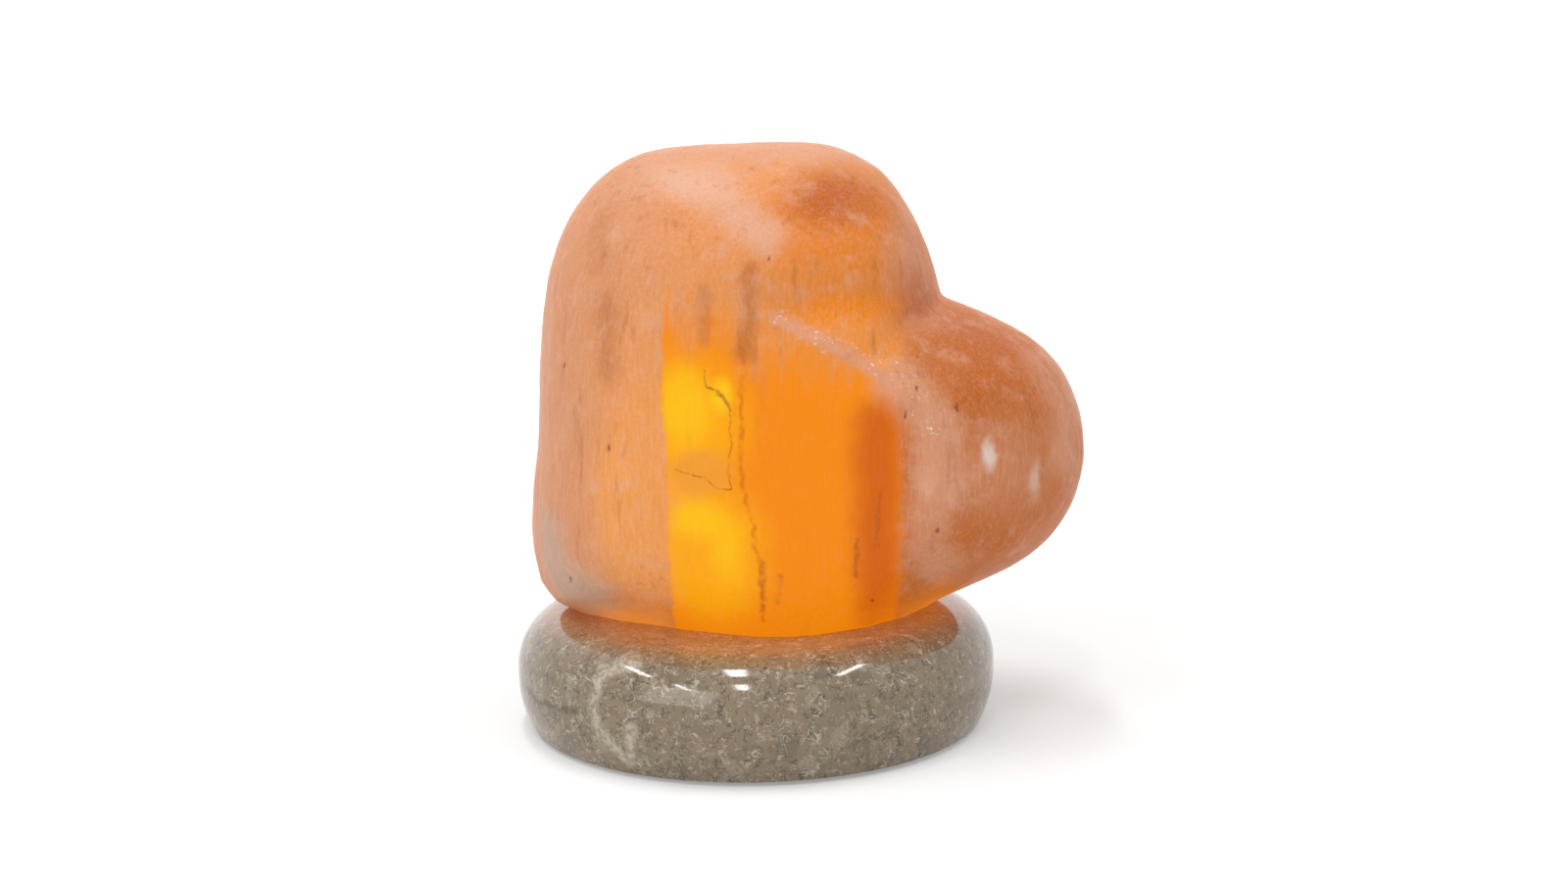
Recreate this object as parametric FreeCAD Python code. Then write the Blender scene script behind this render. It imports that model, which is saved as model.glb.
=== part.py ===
"""Heart-shaped salt crystal lamp on a round polished stone base.

A block of rock salt is carved as a heart that lies on one flank, with its point at the lower
left.  It is sawn flat underneath, drilled from below for the bulb, and screwed to the stone.
A lampholder with two sprung wings is pushed up through the stone and carries a small screw bulb.

Frame: millimetres, +Z up.  The origin is on the stone's axis, on the table that the lamp stands
on.  The heart's broad faces look along -Y (front) and +Y (back), and its two lobes point to
+Z and +X.  The cord channel leaves towards the back, +Y.
"""
import FreeCAD
import Part
import math
import os

V = FreeCAD.Vector
UP = V(0, 0, 1)
HERE = V(0, 0, 0)

# ---------------------------------------------------------------- driving sizes (mm)
# Stone base and its pad
base_diameter = 102.0         # widest, a little below half height
base_thickness = 23.6
base_shoulder = 11.5          # radius of the rounded upper edge
shoulder_bands = 6            # straight bands that stand for that radius
base_foot_flat = 97.2         # diameter of the flat underside
base_waist = 9.7              # height of the widest place above the underside
base_hole = 38.0              # through hole for the lampholder
hole_chamfer = 0.8
channel_width = 8.0           # cord channel across the underside, from the hole to the back
channel_depth = 8.0
channel_corner = 1.5          # radius in the channel's two inner corners
pad_thickness = 1.0           # felt pad glued under the stone
pad_inset = 3.0               # from the stone's flat underside to the pad's edge
pad_hole_margin = 2.0         # the pad's openings are this much larger all round

# Salt crystal
bulb_bore = 40.0              # drilled bore for the bulb and holder
bore_headroom = 1.5           # above the bulb when it is unscrewed right out of its thread
bore_crown = 3.0              # rise of the drill's point at the bore's end
bore_flat = 8.0               # flat at the drill's point
left_wall = 26.6              # salt from the bore to the left flank
right_wall = 50.0             # salt from the bore to the end of the right lobe
crown_wall = 26.8             # salt from the bore's end to the top lobe
face_wall = 13.9              # salt from the bore to the front and back faces
face_share = 0.42             # size of the flat middle of each face against the outline
face_roundness = 1.2          # 1 is a round rim; more makes a leaner, lens-shaped rim

# Screws that hold the crystal down
screw_margin = 9.0            # from the bore's wall to a screw's axis
screw_shank = 3.5             # diameter
screw_length = 30.0           # under the head
screw_head = 7.4              # diameter
screw_head_height = 2.6
socket_size = 2.5             # across the hexagon in the head
socket_depth = 1.4
counterbore = 10.0            # diameter
counterbore_depth = 12.0
shank_room = 0.8              # the stone's screw hole is this much wider than the shank
washer_diameter = 9.4
washer_room = 0.4             # the washer's hole is this much wider than the shank
washer_thickness = 1.0
plug_diameter = 6.0           # nylon plug set in the salt
plug_length = 19.0
plug_collar = 5.0             # unslotted end of the plug
plug_slot = 0.8
plug_hole_extra = 1.0         # the hole in the salt is this much deeper than the plug

# Lampholder
cord_room = 8.5               # from the stone's underside to the gland's mouth
cord_bore = 6.2               # diameter of the gland's bore
gland_nose = 2.0              # length of the gland under the cap
gland_body = 9.8              # diameter through the cap's floor
gland_flange = 13.0           # diameter inside the cap
gland_flange_height = 1.0
gland_taper = 0.6             # how far the nose spreads and draws in from its body
holder_diameter = 26.0
cap_height = 9.5
cap_floor = 2.0
cap_wall = 1.8
spigot_height = 4.0           # part of the shell inside the cap
spigot_wall = 1.3
shell_height = 24.0
shell_wall = 2.0
shell_lip = 2.0               # thickness of the ring round the mouth
shell_chamfer = 0.8
mouth_diameter = 16.6
ledge = 1.0                   # floor that the contact carrier rests on
carrier_height = 7.0
carrier_well = 11.0           # diameter of the recess for the centre contact
carrier_floor = 2.6           # carrier left under that recess
contact_below_rim = 1.0       # from the carrier's top down to the bulb's tip
terminal_width = 5.0
terminal_depth = 6.0
terminal_height = 6.0
terminal_offset = 5.6         # from the axis to a terminal's middle
terminal_roof = 1.5           # brass above the wire hole
wire_hole = 2.4               # diameter
terminal_screw = 2.5          # thread diameter
terminal_screw_head = 4.0
terminal_screw_head_height = 1.0
driver_slot = 0.6             # width and depth of the slot in that head
contact_thickness = 0.4
contact_width = 4.0
contact_foot = 0.6            # length of the spring's foot on the live terminal
contact_crown_half = 0.9      # half the width of the spring's flat crown
contact_rise = 1.3            # how far the spring climbs to its crown
screw_contact_wall = 0.35
screw_contact_height = 13.0
screw_contact_flange = 19.0   # diameter

# Sprung wings that grip the hole in the stone
band_height = 5.0
band_thickness = 0.6
band_below_top = 3.0          # from the shell's top to the band
wing_width = 9.0
wing_thickness = 0.6
wing_length = 32.0            # from its hinge down to the finger end
wing_straight = 8.5           # upright finger stretch below the knee
finger_curl = 1.5             # height of the finger end's turned-in tip
finger_curl_in = 0.5
bead_diameter = 1.2           # bead at the wing's upper end
lip_thickness = 0.5           # wall of the rolled lip round the bead

# Bulb
bulb_length = 52.0
bulb_diameter = 24.0
bulb_neck = 12.2              # diameter inside the cap
glass_thickness = 0.7
bulb_cap_diameter = 13.2      # over the thread
bulb_cap_wall = 0.3
bulb_cap_height = 16.5        # brass part
bulb_skirt = 15.0             # diameter at the cap's flared rim
bulb_skirt_height = 1.6
cap_roll = 1.0                # how far the cap's lower rim is rolled in
cap_roll_height = 0.9
bulb_shoulder = 11.0          # height of the swelling above the cap
insulator_height = 2.3        # black glass that shows under the brass
insulator_ledge = 0.5         # round the solder, and again its seat inside the brass
tip_diameter = 4.6
tip_height = 1.0
cement_depth = 4.0            # glass inside the cap
stem_diameter = 4.4           # glass mount
stem_flare_height = 4.0       # from its broad foot to the rod
lead_wire = 0.6
lead_spread = 11.0            # between the two wire ends
lead_rise = 6.0               # above the stem
lead_inset = 0.9              # from the rod's side to a wire's foot
lead_gap = 0.25               # the wires' tilted ends clear the stem by this
filament_drop = 5.4           # from the bulb's crown down to the filament's bow
filament_wire = 0.5
filament_sag = 3.0
thread_pitch = 2.822          # of the bulb's thread
unscrew_turns = 5.0

# Clearances
seat_gap = 0.05               # between two pieces that are fixed together
slide_gap = 0.3               # between a wing and the hole
thread_gap = 0.35             # between the bulb's cap and the threaded contact
contact_gap = 0.1             # between the bulb's tip and its spring, and at the filament's ends
bead_clearance = 0.08         # between a wing's bead and the lip round it

# ---------------------------------------------------------------- heights worked out from them
underside = pad_thickness
seat = underside + base_thickness                    # top of the stone, foot of the crystal
gland_mouth = underside + cord_room
cap_bottom = gland_mouth + gland_nose
shell_bottom = cap_bottom + cap_height
shell_top = shell_bottom + shell_height
carrier_bottom = shell_bottom + ledge
carrier_top = carrier_bottom + carrier_height
tip_bottom = carrier_top - contact_below_rim
contact_crown = tip_bottom - contact_gap             # top of the spring under the bulb's tip
bulb_top = tip_bottom + bulb_length
bulb_lift = unscrew_turns * thread_pitch
bore_top = bulb_top + bulb_lift + bore_headroom
bulb_cap_bottom = tip_bottom + tip_height + insulator_height
bulb_cap_top = bulb_cap_bottom + bulb_cap_height
glass_bottom = bulb_cap_top - cement_depth
filament_foot = bulb_top - filament_drop - filament_sag - filament_wire / 2
stem_top = filament_foot - contact_gap - (lead_wire + filament_wire) / 2 - lead_rise
band_top = shell_top - band_below_top
hinge_height = band_top - band_height / 2

bore_radius = bulb_bore / 2
hole_radius = base_hole / 2
holder_radius = holder_diameter / 2
screw_offset = bore_radius + screw_margin
screw_seat = underside + counterbore_depth           # ceiling of the counterbore
head_top = screw_seat - washer_thickness
wing_knee = math.sqrt((hole_radius - slide_gap) ** 2 - (wing_width / 2) ** 2) - wing_thickness / 2
hinge_offset = holder_radius + seat_gap + band_thickness + bead_diameter / 2 + bead_clearance

# Heart outline in its middle plane, clockwise from the notch.  Each pair is the share of the
# width from the left flank and the share of the height from the foot.
HEART = [
    (0.745, 0.665),    # notch between the lobes
    (0.845, 0.620),
    (0.935, 0.550),
    (0.990, 0.440),
    (1.000, 0.280),    # end of the right lobe
    (0.925, 0.120),
    (0.765, 0.025),
    (0.450, -0.170),    # the round flank that the saw takes off
    (0.170, -0.040),
    (0.015, 0.045),    # the heart's point
    (0.000, 0.100),
    (0.010, 0.350),    # left flank
    (0.035, 0.695),
    (0.080, 0.850),
    (0.175, 0.965),
    (0.400, 1.000),    # top lobe
    (0.585, 0.980),
    (0.665, 0.905),
    (0.720, 0.770),
]
HEART_MIDDLE = (0.450, 0.380)      # the faces draw in towards this point
FACE_NOTCH = (0.475, 0.605)        # where the valley between the lobes fades out
FLATS_ROUND = 60                   # small flats round each band of the dressed salt
BANDS = 6                          # bands from the middle plane to each face

# Straight stretches that stand for the bulb's two curves
SHOULDER_STEPS = 3
CROWN_STEPS = 4
CROWN_TURN = 80.0                  # degrees from the side to the small flat on top

heart_left = -(bore_radius + left_wall)
heart_width = 2 * bore_radius + left_wall + right_wall
heart_height = bore_top + crown_wall - seat
heart_half_depth = bore_radius + face_wall


# ---------------------------------------------------------------- shape helpers
def cylinder(diameter, low, high, x=0.0, y=0.0):
    """An upright cylinder between two heights."""
    return Part.makeCylinder(diameter / 2, high - low, V(x, y, low), UP)


def tube(outer, inner, low, high):
    """An upright pipe of two diameters between two heights."""
    return cylinder(outer, low, high).cut(cylinder(inner, low - 1, high + 1))


def flat(corners):
    """A flat face between corners."""
    return Part.Face(Part.makePolygon(corners + corners[:1]))


def turned(points):
    """A solid turned about the Z axis from (radius, height) corners."""
    return flat([V(radius, 0, height) for radius, height in points]).revolve(HERE, UP, 360)


def strip(points, thickness, width):
    """A bent strip of sheet metal: the XZ polyline is its middle, and width runs along Y."""
    path = [V(x, 0, z) for x, z in points]
    ways = [(b - a).normalize() for a, b in zip(path, path[1:])]
    sides = [V(-way.z, 0, way.x) for way in ways]
    left, right = [], []
    for n, point in enumerate(path):
        before, after = sides[max(n - 1, 0)], sides[min(n, len(sides) - 1)]
        mitre = (before + after) * (thickness / 2 / (1 + before.dot(after)))
        left.append(point + mitre)
        right.append(point - mitre)
    outline = left + right[::-1]
    solid = flat(outline).extrude(V(0, width, 0))
    solid.translate(V(0, -width / 2, 0))
    return solid


# ---------------------------------------------------------------- stone base
def quarter_round(centre, radius, bands):
    """Corners from the side to the top of a rounded edge, in the plane of radius and height."""
    turns = [math.radians(90.0 * n / bands) for n in range(bands + 1)]
    return [(centre[0] + radius * math.cos(t), centre[1] + radius * math.sin(t)) for t in turns]


def make_marble_base():
    wide, foot = base_diameter / 2, base_foot_flat / 2
    waist = underside + base_waist
    knee = (wide - (wide - foot) / 4, underside + base_waist / 2)
    shoulder = quarter_round((wide - base_shoulder, seat - base_shoulder),
                             base_shoulder, shoulder_bands)
    stone = turned([(0, underside), (foot, underside), knee, (wide, waist)]
                           + shoulder + [(0, seat)])
    stone = stone.cut(cylinder(base_hole, underside - 1, seat + 1))
    for low, high in ((underside, underside + hole_chamfer), (seat, seat - hole_chamfer)):
        stone = stone.cut(turned([
            (0, low), (hole_radius + hole_chamfer, low), (hole_radius, high), (0, high)]))
    for x in (-screw_offset, screw_offset):
        stone = stone.cut(cylinder(counterbore, underside - 1, screw_seat, x))
        stone = stone.cut(cylinder(screw_shank + shank_room, screw_seat - 1, seat + 1, x))
    return stone.cut(channel_tool(channel_width, channel_depth, base_diameter))


def channel_tool(width, depth, reach):
    """The bar that cuts the cord channel, with rounded inner corners."""
    bar = Part.makeBox(width, reach, depth + 1, V(-width / 2, 0, underside - 1))
    inner = [e for e in bar.Edges
             if abs(e.CenterOfMass.z - underside - depth) < 1e-6
             and abs(abs(e.CenterOfMass.x) - width / 2) < 1e-6]
    return bar.makeFillet(channel_corner, inner)


def make_felt_pad():
    grow = 2 * pad_hole_margin
    pad = tube(base_foot_flat - 2 * pad_inset, base_hole + grow, 0, pad_thickness)
    slot = channel_width + grow
    pad = pad.cut(Part.makeBox(slot, base_diameter, pad_thickness + 2, V(-slot / 2, 0, -1)))
    for x in (-screw_offset, screw_offset):
        pad = pad.cut(cylinder(counterbore + grow / 2, -1, pad_thickness + 1, x))
    return pad


# ---------------------------------------------------------------- salt crystal
def heart_point(share):
    """A point of the heart's outline from its shares of the width and the height."""
    return V(heart_left + share[0] * heart_width, 0, seat + share[1] * heart_height)


def heart_stations():
    """Lengths along the outline, shared by all sections so that the loft stays smooth."""
    rim = [heart_point(share) for share in HEART + HEART[:1]]
    stations = [0.0]
    for a, b in zip(rim, rim[1:]):
        stations.append(stations[-1] + a.distanceToPoint(b))
    return stations


def heart_ring(turn, side):
    """Corners round the heart at a depth.  turn is 0 in the middle plane and 90 at a face."""
    inwards = 1 - math.cos(math.radians(turn))
    depth = side * heart_half_depth * math.sin(math.radians(turn)) ** face_roundness
    middle = heart_point(HEART_MIDDLE)
    points = []
    for n, share in enumerate(HEART):
        rim = heart_point(share)
        face = middle + (rim - middle) * face_share if n else heart_point(FACE_NOTCH)
        points.append(rim + (face - rim) * inwards + V(0, depth, 0))
    outline = Part.BSplineCurve()
    outline.interpolate(Points=points + points[:1], Parameters=heart_stations())
    step = outline.LastParameter / FLATS_ROUND
    return [outline.value(n * step) for n in range(FLATS_ROUND)]


def dressed_solid(rings):
    """A solid dressed in small flats between rings of corners, with a flat face at each end."""
    faces = [flat(ring) for ring in (rings[0], rings[-1])]
    for here, there in zip(rings, rings[1:]):
        for n in range(len(here)):
            a, b, c, d = here[n - 1], here[n], there[n], there[n - 1]
            faces += [flat([a, b, c]), flat([a, c, d])]
    shell = Part.makeShell(faces)
    shell.sewShape()
    solid = Part.makeSolid(shell)
    if solid.Volume < 0:
        solid.reverse()
    return solid.removeSplitter()


def make_salt_crystal():
    turns = [90.0 * n / BANDS for n in range(BANDS + 1)]
    rings = [heart_ring(turn, -1) for turn in reversed(turns)]
    rings += [heart_ring(turn, 1) for turn in turns[1:]]
    heart = dressed_solid(rings)
    reach = 4 * heart_width
    saw = Part.makeBox(reach, reach, reach, V(-reach / 2, -reach / 2, seat - reach))
    heart = heart.cut(saw)
    heart = heart.cut(turned([
        (0, seat - 1), (bore_radius, seat - 1), (bore_radius, bore_top),
        (bore_flat / 2, bore_top + bore_crown), (0, bore_top + bore_crown)]))
    plug_end = seat + plug_length + plug_hole_extra
    for x in (-screw_offset, screw_offset):
        heart = heart.cut(cylinder(plug_diameter + 2 * seat_gap, seat - 1, plug_end, x))
    return heart


# ---------------------------------------------------------------- screws for the crystal
def at_both_screws(shape):
    """The same piece at both screw places, as separate solids."""
    placed = []
    for x in (-screw_offset, screw_offset):
        copy = shape.copy()
        copy.translate(V(x, 0, 0))
        placed.append(copy)
    return Part.makeCompound(placed)


def make_crystal_screws():
    low, tip = head_top - screw_head_height, head_top + screw_length
    shank, head = screw_shank / 2, screw_head / 2
    screw = turned([(0, low), (head, low), (head, head_top),
                    (shank, head_top), (shank, tip), (0, tip)])
    corner = socket_size / math.sqrt(3)
    corners = [V(corner * math.cos(math.radians(60 * n)),
                 corner * math.sin(math.radians(60 * n)), low - 1) for n in range(6)]
    socket = flat(corners).extrude(V(0, 0, 1 + socket_depth))
    return at_both_screws(screw.cut(socket))


def make_screw_washers():
    return at_both_screws(tube(washer_diameter, screw_shank + washer_room, head_top, screw_seat))


def make_screw_plugs():
    plug = tube(plug_diameter, screw_shank + 2 * seat_gap, seat, seat + plug_length)
    slot = Part.makeBox(plug_diameter, plug_slot, plug_length,
                        V(-plug_diameter / 2, -plug_slot / 2, seat + plug_collar))
    return at_both_screws(plug.cut(slot))


# ---------------------------------------------------------------- lampholder
def make_holder_cap():
    cap = cylinder(holder_diameter, cap_bottom, shell_bottom)
    inside = cylinder(holder_diameter - 2 * cap_wall, cap_bottom + cap_floor, shell_bottom + 1)
    return cap.cut(inside).cut(cylinder(gland_body + 2 * seat_gap, cap_bottom - 1, shell_bottom))


def make_cord_gland():
    floor_top = cap_bottom + cap_floor
    flange_top = floor_top + gland_flange_height
    bore, body, flange = cord_bore / 2, gland_body / 2, gland_flange / 2
    return turned([
        (bore, gland_mouth), (body - gland_taper, gland_mouth),
        (body + gland_taper, cap_bottom - seat_gap),
        (body, cap_bottom - seat_gap), (body, floor_top), (flange, floor_top),
        (flange, flange_top), (bore, flange_top)])


def make_holder_shell():
    inner = holder_radius - shell_wall
    spigot = holder_radius - cap_wall - seat_gap
    mouth = mouth_diameter / 2
    return turned([
        (spigot - spigot_wall, shell_bottom - spigot_height),
        (spigot, shell_bottom - spigot_height), (spigot, shell_bottom),
        (holder_radius, shell_bottom), (holder_radius, shell_top - shell_chamfer),
        (holder_radius - shell_chamfer, shell_top), (mouth, shell_top),
        (mouth, shell_top - shell_lip), (inner, shell_top - shell_lip),
        (inner, carrier_bottom), (spigot - spigot_wall, carrier_bottom)])


def make_contact_carrier():
    outer = holder_diameter - 2 * shell_wall - 2 * seat_gap
    body = cylinder(outer, carrier_bottom, carrier_top)
    body = body.cut(cylinder(carrier_well, carrier_bottom + carrier_floor, carrier_top + 1))
    feed = contact_width + 2 * seat_gap
    slot = Part.makeBox(terminal_offset, feed, carrier_height + 2,
                        V(terminal_offset - terminal_width / 2, -feed / 2, carrier_bottom - 1))
    slot = slot.common(cylinder(carrier_well, carrier_bottom - 1, carrier_top + 1))
    return body.cut(slot)


def terminal_block(side):
    """A brass block under the carrier, with a wire hole from below and a screw hole in front."""
    middle = side * terminal_offset
    low = carrier_bottom - terminal_height
    block = Part.makeBox(terminal_width, terminal_depth, terminal_height - seat_gap,
                         V(middle - terminal_width / 2, -terminal_depth / 2, low))
    block = block.cut(cylinder(wire_hole, low - 1, low + terminal_height - terminal_roof, middle))
    hole = Part.makeCylinder(terminal_screw / 2 + seat_gap, terminal_depth / 2 + 1,
                             V(middle, -terminal_depth / 2 - 1, low + terminal_height / 2),
                             V(0, 1, 0))
    return block.cut(hole)


def make_terminal_screws():
    low = carrier_bottom - terminal_height
    solids = []
    for side in (-1, 1):
        seat_y = -terminal_depth / 2
        middle = V(side * terminal_offset, seat_y, low + terminal_height / 2)
        shank = Part.makeCylinder(terminal_screw / 2, terminal_depth / 2 - wire_hole / 2,
                                  middle, V(0, 1, 0))
        head = Part.makeCylinder(terminal_screw_head / 2, terminal_screw_head_height,
                                 middle - V(0, terminal_screw_head_height, 0), V(0, 1, 0))
        slot = Part.makeBox(terminal_screw_head, driver_slot, driver_slot,
                            middle - V(terminal_screw_head / 2, terminal_screw_head_height,
                                       driver_slot / 2))
        solids.append(head.fuse(shank).cut(slot).removeSplitter())
    return Part.makeCompound(solids)


def make_centre_contact():
    """A bent spring from the live terminal, up through the carrier, with its crown on the axis."""
    half = contact_thickness / 2
    post = terminal_offset - terminal_width / 4
    sole, crown = carrier_bottom + half, contact_crown - half
    ramp = contact_crown_half + contact_rise
    path = [(post + contact_foot, sole), (post, sole), (post, crown - 2 * contact_rise),
            (ramp, crown - contact_rise), (contact_crown_half, crown),
            (-contact_crown_half, crown), (-ramp, crown - contact_rise)]
    return strip(path, contact_thickness, contact_width)


def make_screw_contact():
    inner = bulb_cap_diameter / 2 + thread_gap
    outer = inner + screw_contact_wall
    flange = screw_contact_flange / 2
    low = carrier_top
    return turned([
        (inner, low), (flange, low), (flange, low + screw_contact_wall),
        (outer, low + screw_contact_wall), (outer, low + screw_contact_height),
        (inner, low + screw_contact_height)])


# ---------------------------------------------------------------- sprung wings
def make_clip_band():
    """A steel band round the shell, with a rolled lip on each side for a wing's bead."""
    inner = holder_diameter + 2 * seat_gap
    band = tube(inner + 2 * band_thickness, inner, band_top - band_height, band_top)
    lip_inner = bead_diameter / 2 + bead_clearance
    lip_outer = lip_inner + lip_thickness
    slack = wing_thickness / 2 + bead_clearance + seat_gap
    low = -2 * lip_outer
    swung = slack - low * (wing_knee - hinge_offset) / (wing_length - wing_straight)
    mouth = [(-slack, 0), (-slack, low), (swung, low), (slack, 0)]
    for side in (-1, 1):
        start = V(side * hinge_offset, -wing_width / 2, hinge_height)
        along = V(0, 1, 0)
        roll = Part.makeCylinder(lip_outer, wing_width, start, along)
        roll = roll.cut(cylinder(inner, band_top - band_height - 1, band_top + 1))
        band = band.fuse(roll)
        band = band.cut(Part.makeCylinder(lip_inner, wing_width + 2,
                                          start - V(0, 1, 0), along))
        corners = [V(side * (hinge_offset + x), -wing_width / 2 - 1, hinge_height + z)
                   for x, z in mouth]
        band = band.cut(flat(corners).extrude(V(0, wing_width + 2, 0)))
    return band.removeSplitter()


def make_clip_wing(side):
    """A leaf with a bead at the top, a knee that bears on the stone, and a finger end."""
    low = hinge_height - wing_length
    path = [(hinge_offset, hinge_height), (wing_knee, low + wing_straight),
            (wing_knee, low + finger_curl), (wing_knee - finger_curl_in, low)]
    leaf = strip([(side * x, z) for x, z in path], wing_thickness, wing_width)
    bead = Part.makeCylinder(bead_diameter / 2, wing_width,
                             V(side * hinge_offset, -wing_width / 2, hinge_height), V(0, 1, 0))
    return leaf.fuse(bead).removeSplitter()


# ---------------------------------------------------------------- bulb
def make_bulb_tip():
    solder = tip_diameter / 2
    return turned([
        (0, tip_bottom), (solder / 2, tip_bottom), (solder, tip_bottom + tip_height / 2),
        (solder, tip_bottom + tip_height), (0, tip_bottom + tip_height)])


def make_bulb_insulator():
    low, top = tip_bottom + tip_height, bulb_cap_bottom
    plug = bulb_cap_diameter / 2 - cap_roll
    return turned([
        (0, low), (tip_diameter / 2 + insulator_ledge, low), (plug, top),
        (plug, top + insulator_ledge), (0, top + insulator_ledge)])


def make_bulb_cap():
    """The brass cap, open at both ends, rolled in below and flared at its rim."""
    outer, inner = bulb_cap_diameter / 2, bulb_cap_diameter / 2 - bulb_cap_wall
    mouth = outer - cap_roll + seat_gap
    low, top = bulb_cap_bottom, bulb_cap_top
    flare = top - bulb_skirt_height
    return turned([
        (mouth, low), (outer - cap_roll / 2, low), (outer, low + cap_roll_height),
        (outer, flare), (bulb_skirt / 2, top), (bulb_skirt / 2 - bulb_cap_wall, top),
        (inner, flare), (inner, low + cap_roll_height), (mouth, low + cap_roll_height)])


def bulb_outline(inset):
    """Corners of the glass from its neck over the crown, drawn in by inset."""
    neck, wide = bulb_neck / 2 - inset, bulb_diameter / 2 - inset
    middle, swing = (neck + wide) / 2, (wide - neck) / 2
    points = [(neck, glass_bottom)]
    for n in range(SHOULDER_STEPS + 1):
        share = n / SHOULDER_STEPS
        points.append((middle - swing * math.cos(math.pi * share),
                       bulb_cap_top + bulb_shoulder * share))
    for n in range(CROWN_STEPS + 1):
        turn = math.radians(CROWN_TURN * n / CROWN_STEPS)
        points.append((wide * math.cos(turn),
                       bulb_top - bulb_diameter / 2 + wide * math.sin(turn)))
    return points + [(0, points[-1][1])]


def make_bulb_glass():
    return turned(bulb_outline(0) + bulb_outline(glass_thickness)[::-1])


def make_bulb_stem():
    """The glass mount: a flare sealed inside the neck, drawn up to a pressed rod."""
    foot, rod = bulb_neck / 2 - glass_thickness - seat_gap, stem_diameter / 2
    return turned([(0, glass_bottom), (foot, glass_bottom),
                   (rod, glass_bottom + stem_flare_height), (rod, stem_top), (0, stem_top)])


def make_lead_wires():
    """Two wires that spread from the stem and carry the ends of the filament."""
    solids = []
    for side in (-1, 1):
        start = V(side * (stem_diameter / 2 - lead_inset), 0, stem_top + lead_gap)
        end = V(side * lead_spread / 2, 0, stem_top + lead_rise)
        way = end - start
        solids.append(Part.makeCylinder(lead_wire / 2, way.Length, start, way))
    return Part.makeCompound(solids)


def make_filament():
    """The coiled tungsten bow between the two lead wires, in four straight stretches."""
    bow = [V(lead_spread / 2 * share, 0, filament_foot + filament_sag * (1 - share ** 2))
           for share in (-1, -0.5, 0, 0.5, 1)]
    start = Part.Wire([Part.makeCircle(filament_wire / 2, bow[0], bow[1] - bow[0])])
    return Part.makePolygon(bow).makePipeShell([start], True, True, 1)


# ---------------------------------------------------------------- all pieces
def main():
    pieces = {
        "marble_base": make_marble_base(),
        "felt_pad": make_felt_pad(),
        "salt_crystal": make_salt_crystal(),
        "crystal_screws": make_crystal_screws(),
        "screw_washers": make_screw_washers(),
        "screw_plugs": make_screw_plugs(),
        "holder_cap": make_holder_cap(),
        "cord_gland": make_cord_gland(),
        "holder_shell": make_holder_shell(),
        "contact_carrier": make_contact_carrier(),
        "live_terminal": terminal_block(1),
        "neutral_terminal": terminal_block(-1),
        "terminal_screws": make_terminal_screws(),
        "centre_contact": make_centre_contact(),
        "screw_contact": make_screw_contact(),
        "clip_band": make_clip_band(),
        "clip_wing_left": make_clip_wing(-1),
        "clip_wing_right": make_clip_wing(1),
        "bulb_tip": make_bulb_tip(),
        "bulb_insulator": make_bulb_insulator(),
        "bulb_cap": make_bulb_cap(),
        "bulb_glass": make_bulb_glass(),
        "bulb_stem": make_bulb_stem(),
        "lead_wires": make_lead_wires(),
        "filament": make_filament(),
    }
    os.makedirs("parts", exist_ok=True)
    for name, shape in pieces.items():
        shape.exportStep(f"parts/{name}.step")
        print(name, "valid", shape.isValid(), "solids", len(shape.Solids),
              "cm3", round(shape.Volume / 1000, 3))


main()
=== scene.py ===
# %% [markdown]
# # A heart-shaped salt crystal lamp
# The lamp is a block of orange rock salt, carved as a heart that lies on one flank, on a round
# base of polished fossil stone. A small bulb inside makes the middle of the salt glow. This lesson
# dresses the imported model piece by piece: camera and light first, then the salt, the stone, and
# at last the small parts that only show from below or when the lampholder is pulled out.

import math

import bmesh
import bpy
import numpy as np
from mathutils import Matrix, Vector, noise


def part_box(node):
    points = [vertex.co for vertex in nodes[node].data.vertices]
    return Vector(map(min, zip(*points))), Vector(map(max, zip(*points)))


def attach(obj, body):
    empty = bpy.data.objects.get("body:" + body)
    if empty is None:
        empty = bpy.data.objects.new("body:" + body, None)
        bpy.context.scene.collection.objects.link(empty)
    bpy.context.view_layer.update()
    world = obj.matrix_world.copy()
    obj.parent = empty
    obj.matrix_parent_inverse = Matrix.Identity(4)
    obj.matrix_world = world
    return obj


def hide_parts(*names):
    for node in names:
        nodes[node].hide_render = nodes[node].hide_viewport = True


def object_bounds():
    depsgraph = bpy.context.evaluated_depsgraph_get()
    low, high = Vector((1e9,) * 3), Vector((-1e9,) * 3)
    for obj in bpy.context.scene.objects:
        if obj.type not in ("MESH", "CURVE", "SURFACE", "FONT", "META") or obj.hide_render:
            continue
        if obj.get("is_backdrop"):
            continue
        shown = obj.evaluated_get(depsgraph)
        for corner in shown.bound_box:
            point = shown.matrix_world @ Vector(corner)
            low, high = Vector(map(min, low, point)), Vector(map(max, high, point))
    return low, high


MM = 0.001
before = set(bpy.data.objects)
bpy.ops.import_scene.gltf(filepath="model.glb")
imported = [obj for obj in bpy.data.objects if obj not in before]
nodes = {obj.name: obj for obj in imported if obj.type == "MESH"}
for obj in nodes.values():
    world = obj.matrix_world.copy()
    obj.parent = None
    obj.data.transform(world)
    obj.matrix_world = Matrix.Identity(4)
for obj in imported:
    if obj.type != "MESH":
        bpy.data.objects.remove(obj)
cad_box = [list(corner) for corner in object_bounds()]

# %% [markdown]
# ## Sizes
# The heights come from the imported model, so that every piece meets its neighbours. The few sizes
# that no box can tell, such as the bore in the salt, are written down where they are first used.


# %% Sizes from the model
def heights(node):
    """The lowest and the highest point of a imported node."""
    return tuple(corner.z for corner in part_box(node))


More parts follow.
